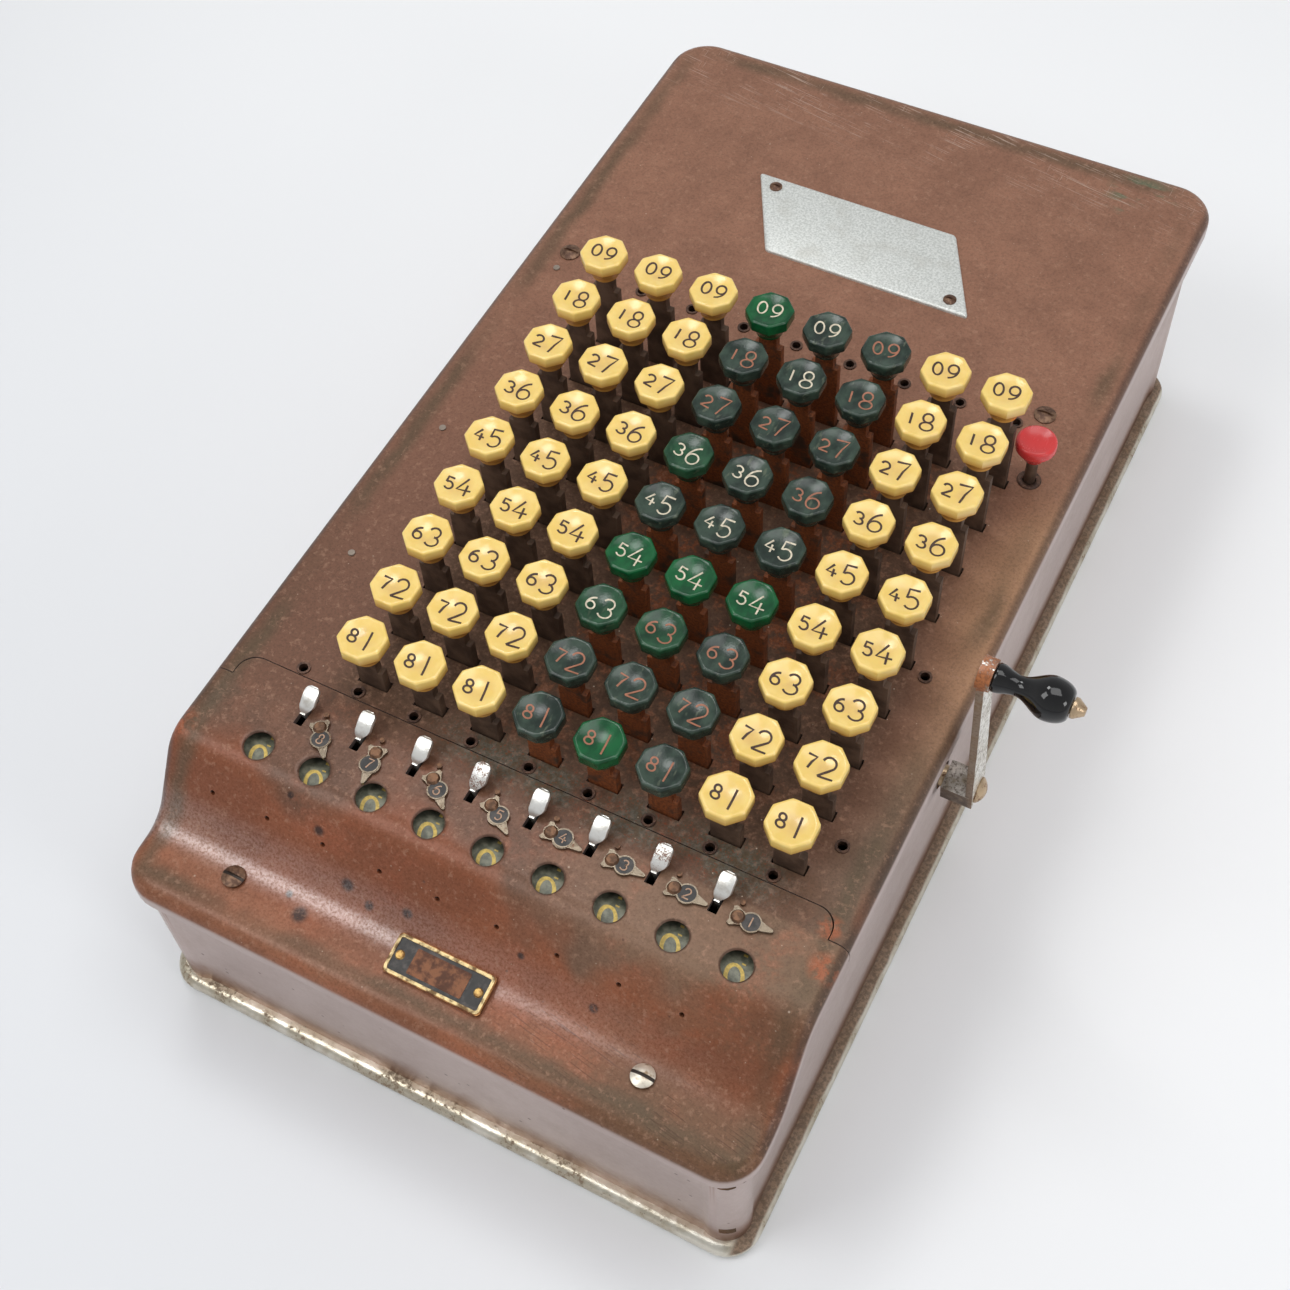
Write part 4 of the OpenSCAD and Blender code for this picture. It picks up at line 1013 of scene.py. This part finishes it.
def cover_plan(edge, holes, windows):
    """Points of the sheet seen from above, and the edges that its triangles keep."""
    tongue = [(TONGUE_X, margin_y), (TONGUE_X, seam_y - TONGUE_R)]
    for turn in spread(0, pi / 2, 8)[1:]:
        tongue.append((TONGUE_X - TONGUE_R + TONGUE_R * cos(turn),
                       seam_y - TONGUE_R + TONGUE_R * sin(turn)))
    half = list(reversed(tongue)) + [place for place, _ in edge]
    outline = half + [(-x, y) for x, y in reversed(half[:-1])]
    points = []
    kept = []
    for ring in [outline] + [hole_loop(hole, 0) for hole in holes]:
        start = len(points)
        points += ring
        kept += [(start + i, start + (i + 1) % len(ring)) for i in range(len(ring))]
    for hole in windows:
        points += hole_loop(hole, 0.2) + hole_loop(hole, 0.55) + hole_loop(hole, 1.5)
    for y in cover_rows():
        if y < lip_y + NOSE_R + 0.5:
            continue
        for x in spread(-TONGUE_X, TONGUE_X, 61):
            near = min(hole_distance((x, y), hole) * min(hole[1]) - min(hole[1]) for hole in holes)
            if near > 1.7 and inside_cover(x * 1.004, y + 0.4) and inside_cover(x * 1.004, y - 0.4):
                points.append((x, y))
    return points, kept


def add_roll(shape, edge):
    """The rolled edge round the sides and the front, with a short skirt below it."""
    roll = edge + [((-x, y), (-dx, dy)) for (x, y), (dx, dy) in reversed(edge[:-1])]
    start = len(shape.points)
    turns = spread(0, pi / 2, 8)
    size = len(turns) + 1
    for (x, y), (dx, dy) in roll:
        radius = hypot(dx, dy)
        for turn in turns:
            z = cover_z(y) - radius * (1 - cos(turn))
            shape.points.append((x + dx * sin(turn), y + dy * sin(turn), z))
        shape.points.append((x + dx, y + dy, cover_z(y) - radius - SKIRT))
    for row in range(len(roll) - 1):
        for i in range(size - 1):
            a = start + row * size + i
            shape.face((a, a + size, a + size + 1, a + 1))


def front_cover(copper):
    """The ogee sheet with its holes, and a rolled edge at its sides and front."""
    edge = cover_outline()
    holes = cover_holes()
    windows = [hole for hole in holes if hole[1][0] == WINDOW_R]
    plan, kept = cover_plan(edge, holes, windows)
    points, _, triangles, *_ = delaunay_2d_cdt([Vector(point) for point in plan], kept, [], 0, 1e-5)
    shape = Shape()
    for point in points:
        rim = min(hole_distance(point, hole) * WINDOW_R - WINDOW_R for hole in windows)
        drop = 0.4 * max(0.0, 1 - rim / 0.5) ** 2
        shape.points.append((point.x, point.y, cover_z(point.y) - drop))
    for corners in triangles:
        middle = sum((points[i] for i in corners), Vector((0, 0))) / 3
        if inside_cover(*middle) and all(hole_distance(middle, hole) > 1 for hole in holes):
            shape.face(tuple(corners))
    add_roll(shape, edge)
    shape.tones = shape.depths = [0.0] * len(shape.points)
    piece = shape.build("cover_sheet", "root", "copper_case", [copper], ["front_cover"])
    modify(piece, "WELD", merge_threshold=0.01 * MM)
    modify(piece, "SOLIDIFY", thickness=SHEET_T * MM, offset=-1)
    modify(piece, "NODES", node_group=smooth_group)


# Small pieces on and in the cover

BLADE_BEND_R = 7.4
# Cross-section of a finger's blade, in halves of its width and thickness
BLADE_SECTION = ((1, -0.4), (1, 0.4), (0.9, 1), (0.4, 1), (-0.4, 1), (-0.9, 1),
                 (-1, 0.4), (-1, -0.4), (-0.9, -1), (-0.4, -1), (0.4, -1), (0.9, -1))
ARM_HUB_R = 4.1
ARM_HALF_W = 0.8
SPOTTED_FINGERS = (3, 6)


def add_blade(shape, x, bend_y, bend_z):
    """A finger tongue that curls back about its bend; past its foot it is wider and further right."""
    rings = []
    for share in (0.0, 0.06, 0.14, 0.24, 0.36, 0.5, 0.64, 0.76, 0.86, 0.93, 0.97, 1.0):
        turn = radians(163 - 66 * share)
        flare = min(share / 0.35, 1)
        half = 0.9 + 1.6 * sin(flare * pi / 2)
        half *= sqrt(max(0.12, 1 - max(0.0, (share - 0.74) / 0.28) ** 3))
        thick = 0.6 if share < 0.95 else 0.35

        def put(u, v):
            reach = BLADE_BEND_R + v - 0.35 * (u / 2.8) ** 2
            return (x + 0.9 * flare + u, bend_y + reach * cos(turn), bend_z + reach * sin(turn))

        rings.append([put(half * u, thick * v) for u, v in reversed(BLADE_SECTION)])
    shape.loft(rings)


def cutoff_fingers(nickel, spotted):
    """Curled finger tongues on their arms."""
    for c, place in enumerate(cutoff_pivots):
        shape = Shape()
        foot_y, foot_z = place.y - 9, top_z + 1.2
        add_blade(shape, place.x, foot_y + 7.7, foot_z - 2.2)
        hub = [(place.y + ARM_HUB_R * cos(turn), place.z + ARM_HUB_R * sin(turn))
               for turn in spread(pi, 2 * pi, 13)]
        arm = hub + [(foot_y + 3.4, foot_z), (foot_y - 0.4, foot_z)]
        shape.loft([[(place.x + side * ARM_HALF_W, y, z) for y, z in arm] for side in (-1, 1)])
        material = spotted if c in SPOTTED_FINGERS else nickel
        shape.build(f"cutoff_finger_{c + 1}", f"cutoff_{c + 1}", "bright_nickel", [material],
                    [f"cutoff_lever_{c + 1}"])


def pointer_discs(black, copper_ink, nickel):
    """A black disc with its number in a raised ring on each pointer."""
    for c in COLUMNS:
        low, high = box(f"decimal_pointer_{c + 1}")
        hinge = pivot(f"pointer_{c + 1}_swing")
        reach = Vector(((low.x + high.x) / 2 - hinge.x, (low.y + high.y) / 2 - hinge.y))
        middle = hinge.xy + reach.normalized() * 3.9

        def place(u, v, lift):
            return (middle.x + u, middle.y + v, high.z + lift)

        shape = Shape()
        shape.loft([circle(2.65, 32, lambda u, v: place(u, v, lift)) for lift in (-0.1, 0.06)], 0)
        shape.stroke(loop(0, 0, 2.8, 2.8, 37), 0.4, place, 1, low=-0.1, high=0.14)
        write_digit(shape, 8 - c, 3.0, 0.38, place, 2, low=0.0, high=0.12)
        shape.build(f"pointer_disc_{c + 1}", f"pointer_{c + 1}", "wheel_black", [black, nickel, copper_ink])


def wheel_digits(paint):
    """Ten painted digits round each numeral wheel, nought at the window."""
    radius = box("numeral_wheel_1")[1].z - wheel_pivots[0].z
    for i, hinge in zip(WHEELS, wheel_pivots):
        shape = Shape()
        for digit in range(10):
            turn = radians(36 * digit)

            def place(u, v, lift):
                angle = turn + (v - 1.9) / radius
                reach = radius + lift
                across = 1.2 * u - 0.25 * v
                return (hinge.x + across, hinge.y + reach * sin(angle), hinge.z + reach * cos(angle))

            write_digit(shape, digit, 6.8, 1.0, place, 0, low=-0.15, high=0.06)
        shape.build(f"wheel_digits_{i}", f"wheel_{i}", "wheel_black", [paint])


def number_tag(black, copper_panel, brass):
    """Raised border, dark field and bare centre of the tag."""
    half_w = box("number_tag")[1].x
    front = lip_y + 10.7
    rear = front + 11.8
    face = 1.2
    rise = cover_z(rear) - cover_z(front)
    tilt = atan2(rise, rear - front)
    depth = hypot(rear - front, rise)
    middle = Vector((0, (front + rear) / 2, (cover_z(front) + cover_z(rear)) / 2))
    along = Vector((0, cos(tilt), sin(tilt)))
    out = Vector((0, -sin(tilt), cos(tilt)))

    def place(u, v, lift):
        return tuple(middle + Vector((u, 0, 0)) + along * v + out * (face + lift))

    def outline(inset_u, inset_v, corner):
        return rounded_box(half_w - inset_u, depth / 2 - inset_v, corner, 5)

    shape = Shape()
    border = outline(0.7, 0.7, 1.0)
    shape.stroke(border + border[:1], 0.9, place, 0, low=-0.2, high=0.4)
    for slot, lift, panel in ((1, 0.1, outline(1.2, 1.2, 0.6)), (2, 0.22, outline(7, 2.2, 0.4))):
        shape.loft([[place(u, v, z) for u, v in panel] for z in (-0.2, lift)], slot)
    shape.build("tag_face", "root", "brass_trim", [brass, black, copper_panel])


# Crank, name plate and release key

def crank_grip(black):
    """Turned grip with a flared end, a neck and a bulb."""
    low, high = box("crank_handle")
    hinge = pivot("crank_grip_turn")
    length = high.x - low.x
    bulb = (high.y - low.y) / 2
    flare, neck, end, bore = 4.1, 2.85, 3.1, 1.95
    neck_at, bulb_at = 0.3 * length, 0.72 * length

    def ease(first, last, share):
        return first + (last - first) * (1 - cos(pi * share)) / 2

    profile = [(0, bore), (0, flare - 0.5), (0.15, flare - 0.15), (0.5, flare)]
    profile += [(0.5 + (neck_at - 0.5) * t, ease(flare, neck, t)) for t in spread(0.08, 1, 14)]
    profile += [(neck_at + (bulb_at - neck_at) * t, ease(neck, bulb, t)) for t in spread(0, 1, 18)[1:]]
    for turn in spread(0, pi / 2, 14)[1:]:
        profile.append((bulb_at + (length - bulb_at) * sin(turn), end + (bulb - end) * cos(turn)))
    profile += [(length, bore), (0, bore)]
    shape = Shape()
    shape.loft([circle(radius, 48, lambda u, v: (low.x + x, hinge.y + u, hinge.z + v))
                for x, radius in profile], capped=False)
    shape.build("turned_grip", "crank_grip", "black_grip", [black], ["crank_handle"])


def name_plate(metal):
    """The bare slanted plate with softened edges."""
    low, high = box("name_plate")
    middle = (low.y + high.y) / 2
    half_d = (high.y - low.y) / 2
    skew = 8.85
    half_w = high.x - skew
    corner = 1.2
    rings = []
    for lift, inset in ((0.0, 0.0), (0.5, 0.0), (0.8, 0.1), (1.05, 0.35), (1.2, 0.75)):
        path = rounded_box(half_w - inset, half_d - inset, corner, 6, start=270)
        rings.append([(u - skew * v / half_d, middle + v, top_z + lift) for u, v in path])
    shape = Shape()
    shape.loft(rings)
    shape.build("name_plate_face", "root", "bright_nickel", [metal], ["name_plate"])


def lathe(x, y, profile, count=48, capped=True):
    """A shape turned about an upright line from pairs of height and radius."""
    shape = Shape()
    rings = [circle(radius, count, lambda u, v: (x + u, y + v, z)) for z, radius in profile]
    shape.loft(rings, capped=capped)
    return shape


def release_key(red, steel, brass):
    """Dished red button on its stem, with a collar on the plate."""
    low, high = box("release_key")
    x, y = (low.x + high.x) / 2, (low.y + high.y) / 2
    top, radius = high.z, (high.x - low.x) / 2
    foot = top - 8.4
    rim = radius - 0.95
    stem_r = 1.8
    profile = [(foot, 2.4), (foot + 0.1, 3.0), (foot + 0.4, 3.25), (foot + 2, 3.9), (foot + 3.6, 4.9),
               (foot + 4.7, 5.9), (foot + 5.2, radius - 0.05), (foot + 5.7, radius), (top - 1.2, radius),
               (top - 0.6, radius - 0.12), (top - 0.2, radius - 0.45), (top, rim)]
    profile += [(top - DISH * (1 - (r / rim) ** 2), r) for r in (5.0, 4.2, 3.2, 2.2, 1.0)]
    button = lathe(x, y, profile)
    button.build("release_button", "release", "red_key", [red], ["release_key"])
    stem = lathe(x, y, [(low.z, stem_r), (foot - 0.4, stem_r), (foot + 0.3, stem_r)], 32)
    stem.build("release_stem", "release", "rusty_stem", [steel])
    ring = [(top_z, 2.1), (top_z, 3.8), (top_z + 0.3, 3.7), (top_z + 0.6, 3.3), (top_z + 0.7, 2.6),
            (top_z + 0.5, 2.1), (top_z, 2.1)]
    collar = lathe(x, y, ring, 40, capped=False)
    collar.build("release_collar", "root", "brass_trim", [brass])


# Frame nodes that keep their shape

def dress(names, material, bevel=0.0):
    """Gives frame nodes a finish, softened edges where asked and smooth shading."""
    for name in names:
        node = nodes[name]
        for slot in node.material_slots:
            slot.material = material
        modify(node, "WELD", merge_threshold=0.001 * MM)
        if bevel:
            modify(node, "BEVEL", width=bevel * MM, segments=2, limit_method="ANGLE",
                   angle_limit=radians(40))
        modify(node, "NODES", node_group=smooth_group)


# The scene

make_camera()
make_world()
make_floor()
make_lamp("overhead_softbox", (0.2, 0.1, 1.0), 1.3, (0.7, 0.7), 4.2)
make_lamp("glint_softbox", (-0.29, 0.2, 0.93), 1.3, (0.3, 0.3), 2.3)
make_lamp("front_softbox", (-0.36, -0.46, 0.8), 1.0, (0.4, 0.5), 2.6)
make_lamp("side_softbox", (0.9, -0.3, 0.5), 1.5, (0.4, 0.4), 2.8)

smooth_group = make_smooth_group()
copper = copper_finish()
nickel = nickel_finish("bright_nickel", rust=0.05)
spotted = nickel_finish("spotted_nickel", rust=0.75, pitting=0.12)
dull_nickel = nickel_finish("dull_nickel", rust=0.4, tint=(132, 120, 104))
steel = steel_finish()
stem = stem_finish()
brass = brass_finish()
enamel = enamel_finish()
rivet = rivet_finish()
dark_ink = ink_finish("dark_ink", (58, 38, 30))
pale_ink = ink_finish("pale_ink", (222, 212, 188), (168, 108, 82))
copper_ink = ink_finish("copper_ink", (184, 148, 122))
wheel_paint = ink_finish("wheel_paint", (226, 196, 104))
tag_copper = brass_finish("tag_copper", (112, 76, 56), (78, 54, 44))
tag_brass = brass_finish("tag_brass", (206, 184, 136), (104, 82, 56))

dress(["case_shell", "top_plate"], copper)
dress(["base_plate"], rim_finish())
dress(["case_screws"], screw_finish())
dress(["number_tag"], brass)
dress(["plate_rivets"], rivet)
dress(["side_frames", "key_guide", "cross_shafts", "lever_springs", "column_levers"], steel)
dress(["crank_arm"], crank_finish(box("crank_arm")[1].x - 1.3), bevel=0.4)
dress(["crank_hardware"], nickel_finish("aged_brass", rust=0.55, tint=(190, 166, 136)), bevel=0.2)
dress([f"key_stems_{n}" for n in ROWS], stem, bevel=0.2)
dress([f"numeral_wheel_{i}" for i in WHEELS], enamel)
dress([f"decimal_pointer_{c + 1}" for c in COLUMNS], dull_nickel)

front_cover(copper)
name_plate(plate_finish())
key_caps(cream_finish(), green_finish(), dark_ink, pale_ink)
cutoff_fingers(nickel, spotted)
pointer_discs(gloss_finish("disc_black", (34, 32, 31), 0.4, 0.2), copper_ink, dull_nickel)
wheel_digits(wheel_paint)
number_tag(gloss_finish("tag_black", (44, 42, 40), 0.5, 0.35), tag_copper, tag_brass)
crank_grip(gloss_finish("black_grip", (12, 12, 13), 0.07, 0.01))
release_key(gloss_finish("red_key", (212, 60, 60), 0.25, 0.06), stem, rivet)
